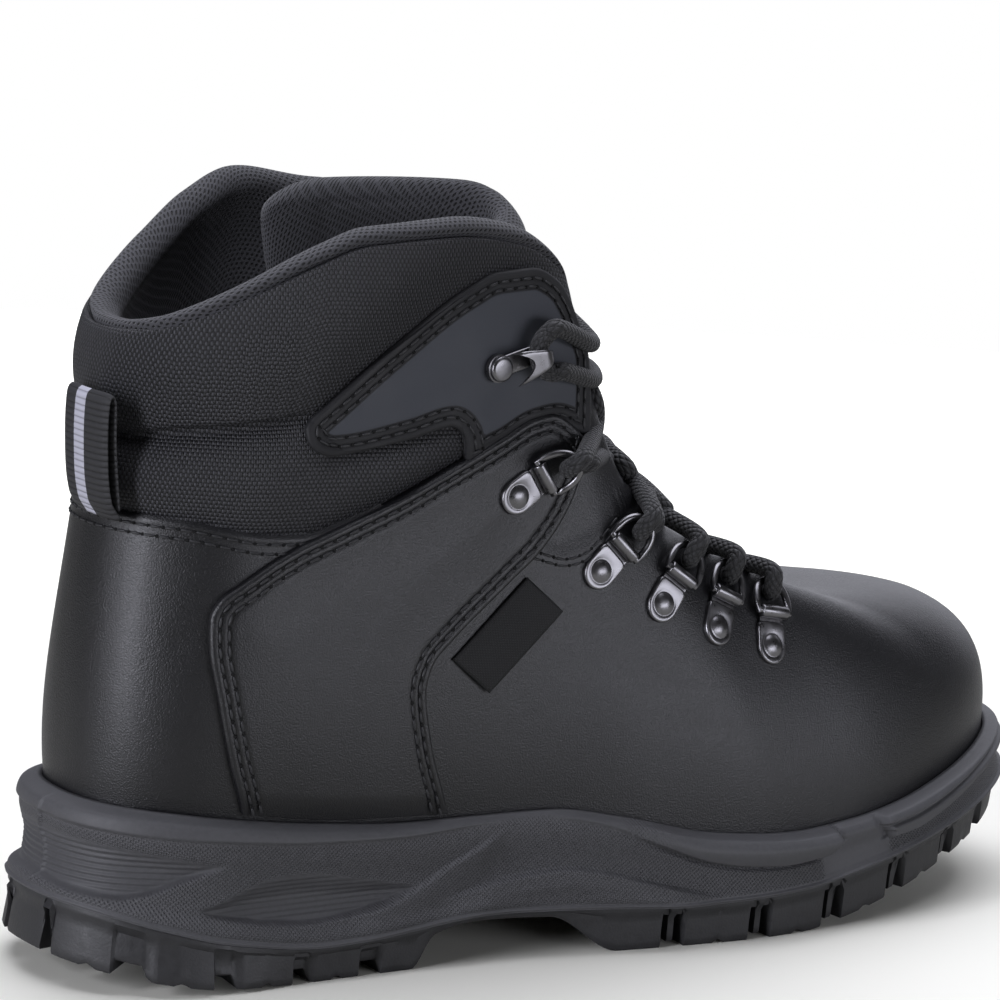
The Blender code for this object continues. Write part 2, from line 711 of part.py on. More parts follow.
def make_tongue(rows=13, columns=11):
    along, across = np.meshgrid(np.linspace(0, 1, rows), np.linspace(-1, 1, columns), indexing="ij")
    along = along * (1 - TONGUE_CORNER * across**4)
    edge = np.minimum(1 - np.abs(across), (1 - along) * 2.0)
    thin = 0.35 * (1 - ease(edge / 0.35))
    outer = tongue_face(along, across, thin)
    inner = tongue_face(along, across, 1 - thin)
    points = np.concatenate([outer.reshape(-1, 3), inner.reshape(-1, 3)])
    faces = sheet_faces(rows, columns)
    return solid("tongue", points, faces, KNIT)


def cut(made, cutter):
    """Take a cutter out of a solid."""
    cutter.hide_render = True
    cutter.display_type = "WIRE"
    change = made.modifiers.new("cut", "BOOLEAN")
    change.operation = "DIFFERENCE"
    change.solver = "EXACT"
    change.use_self = True
    change.object = cutter


def box_faces(start):
    """Quads of a box whose corners are listed as two loops of four."""
    low, high = range(start, start + 4), range(start + 4, start + 8)
    faces = [tuple(low), tuple(reversed(high))]
    for k in range(4):
        after = (k + 1) % 4
        faces.append((low[k], high[k], high[after], low[after]))
    return faces


def edge_turn(x, side):
    share = (x - UPPER_BACK) / (UPPER_TIP - UPPER_BACK)
    return side * np.arccos(1 - 2 * share) / np.pi


def tread_cutter():
    """Notches at the edge of the outsole and grooves between its lugs, joined as one cutter."""
    points, faces = [], []

    def add_box(corners, roof):
        faces.extend(box_faces(len(points)))
        points.extend([(x, y, BELOW_FLOOR) for x, y in corners])
        points.extend([(x, y, roof) for x, y in corners])

    for side in (OUTER, INNER):
        for notch in NOTCH:
            turn = np.array([edge_turn(notch.x, side)])
            out = outward(turn)[0]
            along = np.array([-out[1], out[0]]) * notch.width / 2
            edge = outline(turn)[0] + out * NOTCH_OUTSIDE
            inside = outline(turn)[0] + out * (NOTCH_FROM - notch.reach)
            roof = sole_height(turn, "seam")[0] - NOTCH_ROOF
            narrow = along * NOTCH_TAPER
            add_box([edge - along, edge + along, inside + narrow, inside - narrow], roof)
    for groove in GROOVE:
        near = [(groove.x_from, groove.y_from), (groove.x_to, groove.y_from)]
        far = [(groove.x_to, groove.y_to), (groove.x_from, groove.y_to)]
        add_box(near + far, groove.roof)
    return solid("tread_cutter", points, faces, RUBBER, smooth=False)


def recess_cutter(name, table, side):
    """Solid that follows the midsole's side a little way in and stands clear of it outside."""
    columns = 9
    x = np.linspace(table[0].x, table[-1].x, columns)
    turns = edge_turn(x, side)
    layers = []
    for stand in (-RECESS_DEPTH, RECESS_CLEAR):
        for mix in (0.0, 0.5, 1.0):
            share = look_up(table, "x", "low", x) * (1 - mix) + look_up(table, "x", "high", x) * mix
            low, high = sole_height(turns, "seam") + GAP / 2, sole_height(turns, "rim")
            level = grown_outline(turns, flare(turns, share) + stand)
            layers.append(np.column_stack([level, low + (high - low) * share]))
    order = [0, 1, 2, 5, 4, 3]
    count = len(order)
    points = np.concatenate([layers[k] for k in order])
    faces = []
    for ring in range(count):
        here, after = ring * columns, (ring + 1) % count * columns
        for k in range(columns - 1):
            faces.append((here + k, here + k + 1, after + k + 1, after + k))
    faces.append(tuple(ring * columns for ring in range(count)))
    faces.append(tuple(ring * columns + columns - 1 for ring in range(count)))
    return solid(f"{name}_cutter_{SIDE_NAMES[side]}", points, faces, FOAM, smooth=False)


def along_spots(spots, count):
    """Even points on a smooth line through spots of the side view."""
    xs, zs = column(spots, "x"), column(spots, "z")
    length = np.concatenate([[0], np.cumsum(np.hypot(np.diff(xs), np.diff(zs)))])
    at = np.linspace(0, length[-1], count)
    return np.column_stack([curve(length, xs, at), curve(length, zs, at)])


def shell(name, turn, rise, low, high, finish):
    """Closed sheet over a grid of places on the upper, between two distances from it."""
    rows, columns = turn.shape
    layers = [on_upper(turn, rise, np.full(turn.shape, lift)).reshape(-1, 3) for lift in (high, low)]
    faces = sheet_faces(rows, columns)
    return solid(name, np.concatenate(layers), faces, finish)


def sheet_faces(rows, columns):
    """Faces of a sheet: a grid of points, the same grid again below it, and the border between."""
    size = rows * columns
    faces = []
    for row in range(rows - 1):
        for k in range(columns - 1):
            a = row * columns + k
            faces.append((a, a + 1, a + columns + 1, a + columns))
            faces.append((size + a, size + a + columns, size + a + columns + 1, size + a + 1))
    border = list(range(columns))
    border += [row * columns + columns - 1 for row in range(1, rows)]
    border += [(rows - 1) * columns + k for k in range(columns - 2, -1, -1)]
    border += [row * columns for row in range(rows - 2, 0, -1)]
    for here, after in zip(border, border[1:] + border[:1]):
        faces.append((here, size + here, size + after, after))
    return faces


def make_panel(name, edges, grid, side, finish):
    """Leather panel on the upper, filled smoothly between its four edges."""
    rows, columns = grid
    left, right = along_spots(edges.rear, rows), along_spots(edges.front, rows)
    bottom, over = along_spots(edges.low, columns), along_spots(edges.top, columns)
    v = np.linspace(0, 1, rows)[:, None, None]
    u = np.linspace(0, 1, columns)[None, :, None]
    flat = (1 - v) * bottom[None] + v * over[None] + (1 - u) * left[:, None] + u * right[:, None]
    flat -= (1 - u) * (1 - v) * bottom[0] + u * (1 - v) * bottom[-1]
    flat -= (1 - u) * v * over[0] + u * v * over[-1]
    turn, rise = locate(flat[..., 0], flat[..., 1], side)
    return shell(f"{name}_{SIDE_NAMES[side]}", turn, rise, PANEL_GAP, PANEL_GAP + PANEL_THICKNESS, finish)


def make_tag(rows=3, columns=5):
    corners = np.array(TAG_CORNERS)
    v = np.linspace(0, 1, rows)[:, None, None]
    u = np.linspace(0, 1, columns)[None, :, None]
    upper_side = (1 - u) * corners[0] + u * corners[1]
    lower_side = (1 - u) * corners[3] + u * corners[2]
    flat = (1 - v) * upper_side + v * lower_side
    turn, rise = locate(flat[..., 0], flat[..., 1], OUTER)
    return shell("side_tag", turn, rise, PANEL_GAP, PANEL_GAP + TAG_THICKNESS, WEBBING)


def make_pull_loop(steps=18):
    """Webbing folded into a loop and sewn into the collar seam."""
    middle = along_spots(LOOP_PATH, steps)
    run = np.gradient(middle, axis=0)
    run /= np.linalg.norm(run, axis=1, keepdims=True)
    across = np.column_stack([-run[:, 1], run[:, 0]]) * LOOP_SHEET / 2
    outline_points = np.concatenate([middle + across, (middle - across)[::-1]])
    count = len(outline_points)
    points = []
    for y in (LOOP_MIDDLE - LOOP_WIDTH / 2, LOOP_MIDDLE + LOOP_WIDTH / 2):
        points.extend([(x, y, z) for x, z in outline_points])
    faces = []
    for k in range(count):
        after = (k + 1) % count
        faces.append((k, after, count + after, count + k))
    for k in range(steps - 1):
        mirror = count - 1 - k
        faces.append((k, mirror, mirror - 1, k + 1))
        faces.append((count + k, count + k + 1, count + mirror - 1, count + mirror))
    return solid("pull_loop", points, faces, WEBBING)


def fastener_frame(row, side):
    """Place of a fastener on the upper: its rivet, the way it points, across and out."""
    turn, rise = locate([row.x], [row.z], side)
    lift = GAP + row.under * (PANEL_GAP + PANEL_THICKNESS + GAP)
    origin = on_upper(turn, rise, np.array([lift]))[0]
    out = upper_normal(turn, rise)[0]
    aim = np.array([math.cos(math.radians(row.aim)), 0.0, math.sin(math.radians(row.aim))])
    aim -= out * (aim @ out)
    aim /= np.linalg.norm(aim)
    return origin, aim, np.cross(out, aim), out


def placed(points, frame):
    origin, aim, across, out = frame
    points = np.asarray(points, float)
    return origin + points[:, :1] * aim + points[:, 1:2] * across + points[:, 2:] * out


def plate_shape(front):
    """Sheet-metal plate round a domed rivet, as points along, across and up, with its faces."""
    count = 12
    angle = np.linspace(0, 2 * np.pi, count, endpoint=False)
    ahead = np.maximum(np.cos(angle), 1e-6)
    reach = np.minimum(front / ahead, PLATE_HALF_WIDTH / np.maximum(np.abs(np.sin(angle)), 1e-6))
    radius = np.where(np.cos(angle) > 0.2, reach, PLATE_RADIUS)
    circle = np.column_stack([np.cos(angle), np.sin(angle)])
    rings = []
    for size, height in ((radius, 0.0), (radius, PLATE_SHEET), (DOME_RADIUS, PLATE_SHEET + 0.05)):
        rings.append(np.column_stack([circle * np.atleast_1d(size)[:, None], np.full(count, height)]))
    dome = np.column_stack([circle * DOME_RADIUS * 0.62, np.full(count, PLATE_SHEET + DOME_HEIGHT * 0.75)])
    rings.append(dome)
    points = np.concatenate(rings + [[[0.0, 0.0, PLATE_SHEET + DOME_HEIGHT]]])
    faces = ring_faces(4, count)
    faces.append(tuple(range(count)))
    for k in range(count):
        faces.append((3 * count + k, 3 * count + (k + 1) % count, 4 * count))
    return points, faces


def fold_shape(centre, height, inner, end_angle, steps):
    """Tongue of sheet metal bent round a bar, as an extruded hook profile."""
    angles = np.radians(np.linspace(-90, end_angle, steps))
    outer = inner + FOLD_SHEET
    profile = [(centre + outer * math.cos(a), height + outer * math.sin(a)) for a in angles]
    profile += [(centre + inner * math.cos(a), height + inner * math.sin(a)) for a in reversed(angles)]
    start = centre - inner - FOLD_ROOT
    profile.append((start, height - inner))
    profile.append((start, height - outer))
    count = len(profile)
    points = [(u, side * FOLD_HALF_WIDTH, w) for side in (-1, 1) for u, w in profile]
    faces = [(k, (k + 1) % count, count + (k + 1) % count, count + k) for k in range(count)]
    strips = [(k, k + 1, 2 * steps - 2 - k, 2 * steps - 1 - k) for k in range(steps - 1)]
    strips.append((0, 2 * steps - 1, 2 * steps, 2 * steps + 1))
    for quad in strips:
        faces.append(quad)
        faces.append(tuple(count + k for k in reversed(quad)))
    return np.array(points), faces


def make_plate(name, frame, front, fold):
    """Riveted plate with its folded tongue, joined as one piece of metal."""
    points, faces = plate_shape(front)
    plate = solid(name, placed(points, frame), faces, STEEL)
    fold_points, fold_faces = fold
    bent = solid(f"{name}_fold", placed(fold_points, frame), fold_faces, STEEL)
    bent.hide_render = True
    bent.display_type = "WIRE"
    join = plate.modifiers.new("join", "BOOLEAN")
    join.operation = "UNION"
    join.solver = "EXACT"
    join.object = bent
    return plate


def tube(name, path, radius, sides, finish, closed):
    """Round bar or cord along a path."""
    path = np.asarray(path, float)
    count = len(path)
    if closed:
        run = np.roll(path, -1, 0) - np.roll(path, 1, 0)
    else:
        run = np.gradient(path, axis=0)
    run /= np.linalg.norm(run, axis=1, keepdims=True)
    first = np.cross(run[0], [0.3, 0.2, 0.9])
    points = []
    for place, ahead in zip(path, run):
        first = first - ahead * (first @ ahead)
        first /= np.linalg.norm(first)
        second = np.cross(ahead, first)
        for k in range(sides):
            turn = 2 * np.pi * k / sides
            points.append(place + radius * (first * math.cos(turn) + second * math.sin(turn)))
    faces = ring_faces(count, sides, closed_rows=closed)
    if not closed:
        faces.append(tuple(range(sides)))
        faces.append(tuple(range((count - 1) * sides, count * sides)))
    return solid(name, points, faces, finish)


def ring_tilt(row, frame, side):
    """Angle at which a ring, pulled towards the throat, still clears the upper under it."""
    origin, aim, across, out = frame
    turn, rise = locate([row.x], [row.z], side)
    turns, rises = np.meshgrid(turn[0] + np.linspace(-0.08, 0.08, 33), np.linspace(rise[0], 1, 60))
    away = upper_point(turns, rises).reshape(-1, 3) - origin
    along, beside, height = away @ aim - RING_BAR, away @ across, away @ out
    under = (along > 2.0) & (along < RING_REACH + 1.0) & (np.abs(beside) < RING_HALF_WIDTH + 1.0)
    needed = height[under] + RING_CLEAR + row.under * (PANEL_GAP + PANEL_THICKNESS) - RING_BAR_HEIGHT
    return float(np.max(np.arctan2(needed, along[under])))


def ring_path(tilt, arc_points=11):
    """Wire of a lace ring: a straight bar in the fold and a round bow, along, across and up."""
    angle = np.linspace(-math.pi / 2, math.pi / 2, arc_points)
    reach = RING_REACH * np.cos(angle) ** 0.85
    along = RING_BAR + reach * math.cos(tilt)
    up = RING_BAR_HEIGHT + reach * math.sin(tilt)
    return np.column_stack([along, RING_HALF_WIDTH * np.sin(angle), up])


def make_fasteners():
    fold = fold_shape(RING_BAR, RING_BAR_HEIGHT, FOLD_INNER, FOLD_END, steps=6)
    hook = fold_shape(HOOK_BEND, HOOK_HEIGHT, HOOK_INNER, HOOK_END, steps=7)
    for side in (OUTER, INNER):
        for row in FASTENERS:
            frame = fastener_frame(row, side)
            name = f"{row.name}_{SIDE_NAMES[side]}"
            if row.name == "hook":
                make_plate(f"lace_{name}", frame, PLATE_FRONT, hook)
                continue
            make_plate(f"{name}_plate", frame, PLATE_FRONT, fold)
            wire = ring_path(ring_tilt(row, frame, side))
            tube(name, placed(wire, frame), RING_WIRE, 5, STEEL, closed=True)


def lace_end(row, side, spread):
    """Where the lace leaves a ring: over the edge of the throat next to it, lower or higher on it."""
    frame = fastener_frame(row, side)
    tilt = ring_tilt(row, frame, side)
    tip = placed([(RING_BAR + RING_REACH * math.cos(tilt), 0.0, RING_REACH * math.sin(tilt))], frame)[0]
    turns = side * np.linspace(0.47, 0.95, 481)
    edge = top_edge(turns)
    nearest = int(np.argmin(np.linalg.norm(edge - tip, axis=1)))
    length = np.concatenate([[0], np.cumsum(np.linalg.norm(np.diff(edge, axis=0), axis=1))])
    turn = np.interp(length[nearest] + spread, length, turns)
    lift = LACE_RADIUS + LACE_EDGE_CLEAR
    return on_upper(np.array([turn]), np.array([1.0]), np.array([lift]))[0]


def over_tongue(point):
    """Point over the middle of the tongue, nearest to a given one, with room for the lace."""
    along = np.linspace(0.05, 0.95, 181)
    face = tongue_face(along, np.zeros_like(along), np.zeros_like(along))
    out = face - tongue_face(along, np.zeros_like(along), np.ones_like(along))
    out /= np.linalg.norm(out, axis=1, keepdims=True)
    nearest = int(np.argmin(np.linalg.norm(face[:, [0, 2]] - point[[0, 2]], axis=1)))
    return face[nearest] + out[nearest] * (LACE_RADIUS + LACE_CLEAR)


def lace_run(name, start, end, steps=7):
    middle = over_tongue((start + end) / 2)
    u = np.linspace(0, 1, steps)[:, None]
    path = start * (1 - u) * (1 - 2 * u) + middle * 4 * u * (1 - u) + end * u * (2 * u - 1)
    return tube(name, path, LACE_RADIUS, 6, LACE_BRAID, closed=False)


def make_lace():
    """Bars at both ends of the lacing and the crossings between the rows of rings."""
    low = {side: [lace_end(row, side, LACE_SPREAD) for row in FASTENERS] for side in (OUTER, INNER)}
    high = {side: [lace_end(row, side, -LACE_SPREAD) for row in FASTENERS] for side in (OUTER, INNER)}
    lace_run("lace_bar_low", low[OUTER][0], low[INNER][0])
    lace_run("lace_bar_top", high[OUTER][-1], high[INNER][-1])
    for k in range(len(FASTENERS) - 1):
        name = f"lace_cross_{k + 1}"
        crossing = lace_run(name, high[OUTER][k], low[INNER][k + 1])
        other = lace_run(f"{name}_over", high[INNER][k], low[OUTER][k + 1])
        other.hide_render = True
        other.display_type = "WIRE"
        join = crossing.modifiers.new("join", "BOOLEAN")
        join.operation = "UNION"
        join.solver = "EXACT"
        join.object = other


make_outsole()
make_midsole()
make_insole()
make_upper()
make_tongue()
for foot_side in (OUTER, INNER):
    make_panel("quarter", QUARTER_EDGES, (9, 8), foot_side, LEATHER)
    make_panel("eyestay", EYESTAY_EDGES, (5, 14), foot_side, NUBUCK)
make_tag()
make_pull_loop()
make_fasteners()
make_lace()
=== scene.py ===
import math
from collections import namedtuple

import bmesh
import bpy
import numpy as np
from mathutils import Matrix, Vector


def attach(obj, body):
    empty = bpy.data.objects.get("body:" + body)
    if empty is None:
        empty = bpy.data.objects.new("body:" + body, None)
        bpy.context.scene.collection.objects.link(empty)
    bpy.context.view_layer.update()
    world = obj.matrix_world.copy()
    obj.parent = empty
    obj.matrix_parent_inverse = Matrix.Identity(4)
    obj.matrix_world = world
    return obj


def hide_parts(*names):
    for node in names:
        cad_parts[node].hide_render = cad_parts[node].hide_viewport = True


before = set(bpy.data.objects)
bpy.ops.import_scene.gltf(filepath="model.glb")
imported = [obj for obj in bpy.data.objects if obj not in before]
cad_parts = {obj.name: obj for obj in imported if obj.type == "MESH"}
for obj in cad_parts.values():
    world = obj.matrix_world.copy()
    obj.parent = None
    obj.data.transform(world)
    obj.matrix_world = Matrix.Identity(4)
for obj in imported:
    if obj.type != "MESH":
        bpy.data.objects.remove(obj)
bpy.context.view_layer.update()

scene = bpy.context.scene
scene.view_settings.view_transform = "Standard"

# Studio. The boot stands on a pale floor in even light from large soft boxes. The camera is where
# the photograph was taken from: behind the boot and to its outer side, a little above the collar.
CAMERA_TURN, CAMERA_RISE, CAMERA_ROLL = (math.radians(angle) for angle in (32.7, 11.0, 2.63))
CAMERA_DISTANCE, CAMERA_SENSOR, CAMERA_LENS = 1.150, 36.0, 168.4
CAMERA_TARGET = Vector((-0.0143, -0.0013, 0.10475))
WHITE, BOX_TINT, FLOOR_TINT = (1.0, 1.0, 1.0, 1.0), (0.89, 0.9, 1.0), (1.0, 0.99, 0.89)
SKY_LIGHT, FLOOR_LIGHT, FLOOR_SEEN, FLOOR_GLOW = 0.04, 0.45, 0.95, 0.6
FLOOR_RADIUS, FLOOR_SIDES, FADE_FROM, FADE_TO = 0.95, 96, 0.2, 0.75
SoftBox = namedtuple("SoftBox", "name place aim size power")
SOFT_BOXES = (
    SoftBox("top_box", (0.2, 0.3, 1.3), (0.0, 0.0, 0.05), (1.5, 1.5), 24.0),
    SoftBox("left_box", (-1.1, -0.18, 0.3), (0.0, 0.0, 0.1), (0.3, 0.8), 10.0),
    SoftBox("right_box", (0.95, 0.65, 0.45), (0.08, 0.0, 0.08), (1.1, 0.8), 3.0),
    SoftBox("front_box", (0.45, -1.05, 0.17), (0.04, 0.0, 0.06), (0.9, 0.34), 4.3),
)
backwards = Vector(
    (
        -math.sin(CAMERA_TURN) * math.cos(CAMERA_RISE),
        -math.cos(CAMERA_TURN) * math.cos(CAMERA_RISE),
        math.sin(CAMERA_RISE),
    )
)
level_right = Vector((math.cos(CAMERA_TURN), -math.sin(CAMERA_TURN), 0.0))
level_up = backwards.cross(level_right)
camera_right = level_right * math.cos(CAMERA_ROLL) + level_up * math.sin(CAMERA_ROLL)
camera_up = level_up * math.cos(CAMERA_ROLL) - level_right * math.sin(CAMERA_ROLL)
camera_place = CAMERA_TARGET + backwards * CAMERA_DISTANCE
camera = bpy.data.objects.new("camera", bpy.data.cameras.new("camera"))
camera.data.sensor_width = CAMERA_SENSOR
camera.data.lens = CAMERA_LENS
camera.matrix_world = Matrix(
    [[axis[k] for axis in (camera_right, camera_up, backwards, camera_place)] for k in range(3)]
    + [[0, 0, 0, 1]]
)
scene.collection.objects.link(camera)
scene.camera = camera

for box in SOFT_BOXES:
    light = bpy.data.lights.new(box.name, "AREA")
    light.shape = "RECTANGLE"
    light.size, light.size_y = box.size
    light.energy, light.color = box.power, BOX_TINT
    lamp = bpy.data.objects.new(box.name, light)
    lamp.location = box.place
    lamp.rotation_euler = (Vector(box.aim) - Vector(box.place)).to_track_quat("-Z", "Y").to_euler()
    scene.collection.objects.link(lamp)


def node(tree, kind, links, **settings):
    """Outputs of a new node; links gives each input a socket or a plain value."""
    made = tree.nodes.new(kind)
    for key, value in settings.items():
        setattr(made, key, value)
    for key, value in links.items():
        if isinstance(value, bpy.types.NodeSocket):
            tree.links.new(value, made.inputs[key])
        else:
            made.inputs[key].default_value = value
    return made.outputs


def number(tree, operation, *values):
    """Math node; each value is a socket or a plain number."""
    return node(tree, "ShaderNodeMath", dict(enumerate(values)), operation=operation)[0]


def spread(tree, value, low, high, to_low, to_high):
    """Value carried over from one range to another."""
    ends = {"From Min": low, "From Max": high, "To Min": to_low, "To Max": to_high}
    return node(tree, "ShaderNodeMapRange", {"Value": value, **ends})["Result"]


def for_camera(tree, others, seen):
    """Value that is one thing to the camera and another to the light that falls on the boot."""
    ray = node(tree, "ShaderNodeLightPath", {})["Is Camera Ray"]
    return spread(tree, ray, 0.0, 1.0, others, seen)


def finish(name, colour, roughness, **extras):
    """New material with its node tree and its Principled shader."""
    made = bpy.data.materials.new(name)
    made.use_nodes = True
    shader = made.node_tree.nodes["Principled BSDF"]
    shader.inputs["Base Color"].default_value = (*colour, 1.0)
    shader.inputs["Roughness"].default_value = roughness
    for key, value in extras.items():
        shader.inputs[key.replace("_", " ").title()].default_value = value
    return made, made.node_tree, shader


def feed(tree, shader, name, value):
    tree.links.new(value, shader.inputs[name])


world = bpy.data.worlds.new("studio")
world.use_nodes = True
sky = world.node_tree.nodes["Background"]
sky.inputs["Color"].default_value = WHITE
feed(world.node_tree, sky, "Strength", for_camera(world.node_tree, SKY_LIGHT, 1.0))
scene.world = world

floor_paint, tree, shader = finish("floor_paint", WHITE[:3], 0.9, emission_color=WHITE)
tone = for_camera(tree, FLOOR_LIGHT, FLOOR_SEEN)
tinted = node(tree, "ShaderNodeVectorMath", {0: tone, 1: FLOOR_TINT}, operation="MULTIPLY")
feed(tree, shader, "Base Color", tinted["Vector"])
place = node(tree, "ShaderNodeTexCoord", {})["Object"]
from_boot = node(tree, "ShaderNodeVectorMath", {0: place}, operation="LENGTH")["Value"]
fade_out = spread(tree, from_boot, FADE_FROM, FADE_TO, 0.0, 1.0)
glow = number(tree, "MULTIPLY", fade_out, for_camera(tree, 0.0, FLOOR_GLOW))
feed(tree, shader, "Emission Strength", glow)
floor_mesh = bpy.data.meshes.new("floor")
floor_turns = [2 * math.pi * k / FLOOR_SIDES for k in range(FLOOR_SIDES)]
floor_edge = [(FLOOR_RADIUS * math.cos(a), FLOOR_RADIUS * math.sin(a), 0.0) for a in floor_turns]
floor_mesh.from_pydata(floor_edge, [], [list(range(FLOOR_SIDES))])
floor_mesh.materials.append(floor_paint)
studio_floor = bpy.data.objects.new("floor", floor_mesh)
scene.collection.objects.link(studio_floor)

# Midsole. A cup of dark grey polyurethane foam, moulded in one shot round the foot of the upper.
# Its side carries the mould's relief: a smooth rim, ribs and a slash at the heel, a ribbed lens
# behind the waist, a raised band along the ball and a bumper round the toe.
SOLE_LENGTH, SOLE_MIDDLE = 285.0, 1.296
UPPER_BACK, UPPER_TIP, TOE_SWING, SWING_FROM = 9.0, 277.0, 4.0, 150.0
HEEL_ROUND, TOE_ROUND, ROUND_POWER = 36.0, 60.0, 2.25
CUP_GAP = 0.45
Plan = namedtuple("Plan", "x outer inner")
PLAN = (
    Plan(9, 31.0, 31.0),
    Plan(40, 31.5, 31.5),
    Plan(105, 34.5, 30.0),
    Plan(150, 42.0, 37.5),
    Plan(185, 46.0, 44.0),
    Plan(210, 45.5, 45.5),
    Plan(240, 42.0, 43.5),
    Plan(277, 38.0, 39.0),
)
Side = namedtuple("Side", "x rim seam ground bed")
SIDE = (
    Side(0, 44.6, 22.2, 12.4, 30.0),
    Side(10, 44.0, 20.4, 7.4, 30.0),
    Side(24, 42.8, 15.8, 3.4, 30.0),
    Side(36, 41.2, 12.2, 1.5, 29.5),
    Side(62, 37.8, 8.7, 0.0, 29.0),
    Side(86, 36.0, 10.2, 0.0, 28.0),
    Side(92, 36.0, 10.9, 8.0, 27.6),
    Side(104, 36.0, 12.0, 10.2, 26.5),
    Side(123, 36.2, 11.7, 9.7, 24.5),
    Side(141, 33.4, 11.2, 0.0, 21.6),
    Side(165, 27.8, 10.6, 0.0, 18.6),
    Side(192, 25.6, 11.6, 0.0, 17.9),
    Side(205, 26.4, 13.6, 2.0, 18.6),
    Side(224, 29.0, 17.4, 6.6, 20.6),
    Side(245, 33.6, 21.8, 12.2, 23.6),
    Side(266, 38.9, 26.5, 18.0, 26.6),
    Side(285, 43.2, 30.6, 23.2, 29.0),
)
Flare = namedtuple("Flare", "share back heel waist ball toe")
FLARE_AT = (0.0, 0.26, 0.42, 0.6, 1.0)
FLARE = (
    Flare(0.0, 7.8, 5.6, 4.4, 5.0, 5.0),
    Flare(0.07, 8.2, 6.2, 5.0, 5.6, 5.4),
    Flare(0.2, 6.3, 5.0, 4.0, 5.0, 4.6),
    Flare(0.5, 5.7, 4.4, 3.2, 4.2, 3.7),
    Flare(0.78, 5.6, 5.0, 4.0, 4.6, 3.3),
    Flare(0.92, 4.8, 4.0, 3.4, 3.6, 2.6),
    Flare(1.0, 1.7, 1.6, 1.6, 1.6, 1.4),
)
Spot = namedtuple("Spot", "x z")


def spots(*pairs):
    return tuple(Spot(*pair) for pair in pairs)


RIB_TOP = spots((2.1, 36.2), (12.0, 34.2), (20.0, 32.6), (30.0, 30.3))
HEEL_BAND = spots((2.1, 23.9), (4.6, 22.8), (9.5, 22.3), (13.8, 23.4), (21.0, 26.8), (30.0, 30.2))
RIM_BAND = spots(
    (1.0, 39.0), (8.5, 38.0), (26.0, 36.4), (53.6, 33.6), (80.6, 32.6), (102.4, 34.0),
    (118.5, 34.8), (133.6, 32.4), (146.6, 28.4),
)
LENS_LOW = spots(
    (24.0, 20.4), (27.6, 18.5), (34.4, 16.9), (42.0, 15.6), (54.9, 14.5), (63.8, 15.0),
    (74.8, 16.9), (84.6, 20.6),
)
LENS_TOP = spots(
    (24.0, 20.4), (30.3, 22.6), (36.5, 25.4), (42.8, 27.0), (49.7, 27.4), (57.0, 26.7),
    (65.1, 25.0), (75.0, 23.0), (84.6, 20.8),
)
SWEEP = spots(
    (63.8, 15.0), (74.8, 16.9), (84.4, 20.5), (93.0, 25.0), (100.0, 28.4), (105.4, 31.2),
    (111.0, 34.0),
)
LOWER_WAVE = spots(
    (89.4, 16.0), (97.5, 18.1), (108.3, 20.3), (118.7, 21.5), (126.5, 22.0), (134.2, 21.1),
    (147.3, 17.8), (160.7, 14.4), (172.0, 12.0),
)
BALL_BAND = spots(
    (140.0, 31.0), (146.6, 28.4), (154.8, 25.3), (166.0, 21.4), (177.5, 19.4), (189.6, 18.6),
    (200.5, 19.4),
)
BALL_BAND_END = spots((200.5, 19.4), (203.8, 20.4), (206.6, 22.8), (205.0, 31.0))
BUMPER_DROP = spots(
    (216.0, 6.4), (224.0, 6.7), (234.0, 7.2), (246.0, 6.4), (259.0, 4.8), (272.0, 3.8), (286.0, 3.4)
)
BUMPER_START = spots((220.7, 32.0), (221.7, 25.2), (224.0, 22.8))
MOULD_SEAM = spots((1.6, 21.0), (2.2, 27.4), (2.0, 30.9), (0.9, 34.3), (2.0, 39.4), (2.4, 44.5))
LIP_DEPTH, RIM_DEPTH, SWEEP_DEPTH, WAVE_DEPTH, SEAM_DEPTH = 0.85, 0.85, 1.25, 2.0, 0.75
HEEL_DEPTH, HEEL_DEEPER, HEEL_RIB, HEEL_RIB_PITCH = 1.5, 1.3, 0.22, 1.45
LENS_DEPTH, LENS_RIB, LENS_RIB_PITCH = 2.9, 0.15, 1.3
BALL_DEPTH, BALL_CROWN, BUMPER_DEPTH, BUMPER_GROOVE, END_GROOVE = 2.2, 0.7, 2.0, 1.1, 0.9
ALMOST_ROUND, ARC_POINTS = 0.99999, 4001


def curve(xs, ys, at):
    """Smooth curve through a table's values that never swings past them."""
    xs, ys = np.asarray(xs, float), np.asarray(ys, float)
    step = np.diff(xs)
    slope = np.diff(ys) / step
    before, after = slope[:-1], slope[1:]
    heavy, light = 2 * step[1:] + step[:-1], step[1:] + 2 * step[:-1]
    same = before * after > 0
    mean = np.zeros(len(xs))
    before, after, heavy, light = (part[same] for part in (before, after, heavy, light))
    mean[1:-1][same] = (heavy + light) / (heavy / before + light / after)
    mean[0], mean[-1] = slope[0], slope[-1]
    at = np.clip(np.asarray(at, float), xs[0], xs[-1])
    k = np.clip(np.searchsorted(xs, at, side="right") - 1, 0, len(xs) - 2)
    u = (at - xs[k]) / step[k]
    return (
        ys[k] * (1 + 2 * u) * (1 - u) ** 2
        + ys[k + 1] * u**2 * (3 - 2 * u)
        + step[k] * u * (1 - u) * (mean[k] * (1 - u) - mean[k + 1] * u)
    )


def look_up(table, key, name, at):
    return curve([getattr(row, key) for row in table], [getattr(row, name) for row in table], at)


def ease(u):
    u = np.clip(u, 0.0, 1.0)
    return u * u * (3 - 2 * u)


def hump(at, width):
    """Soft ridge round 0, or a trough where it is taken away."""
    return np.exp(-((at / width) ** 2))


def unit(vectors):
    return vectors / np.linalg.norm(vectors, axis=-1, keepdims=True)


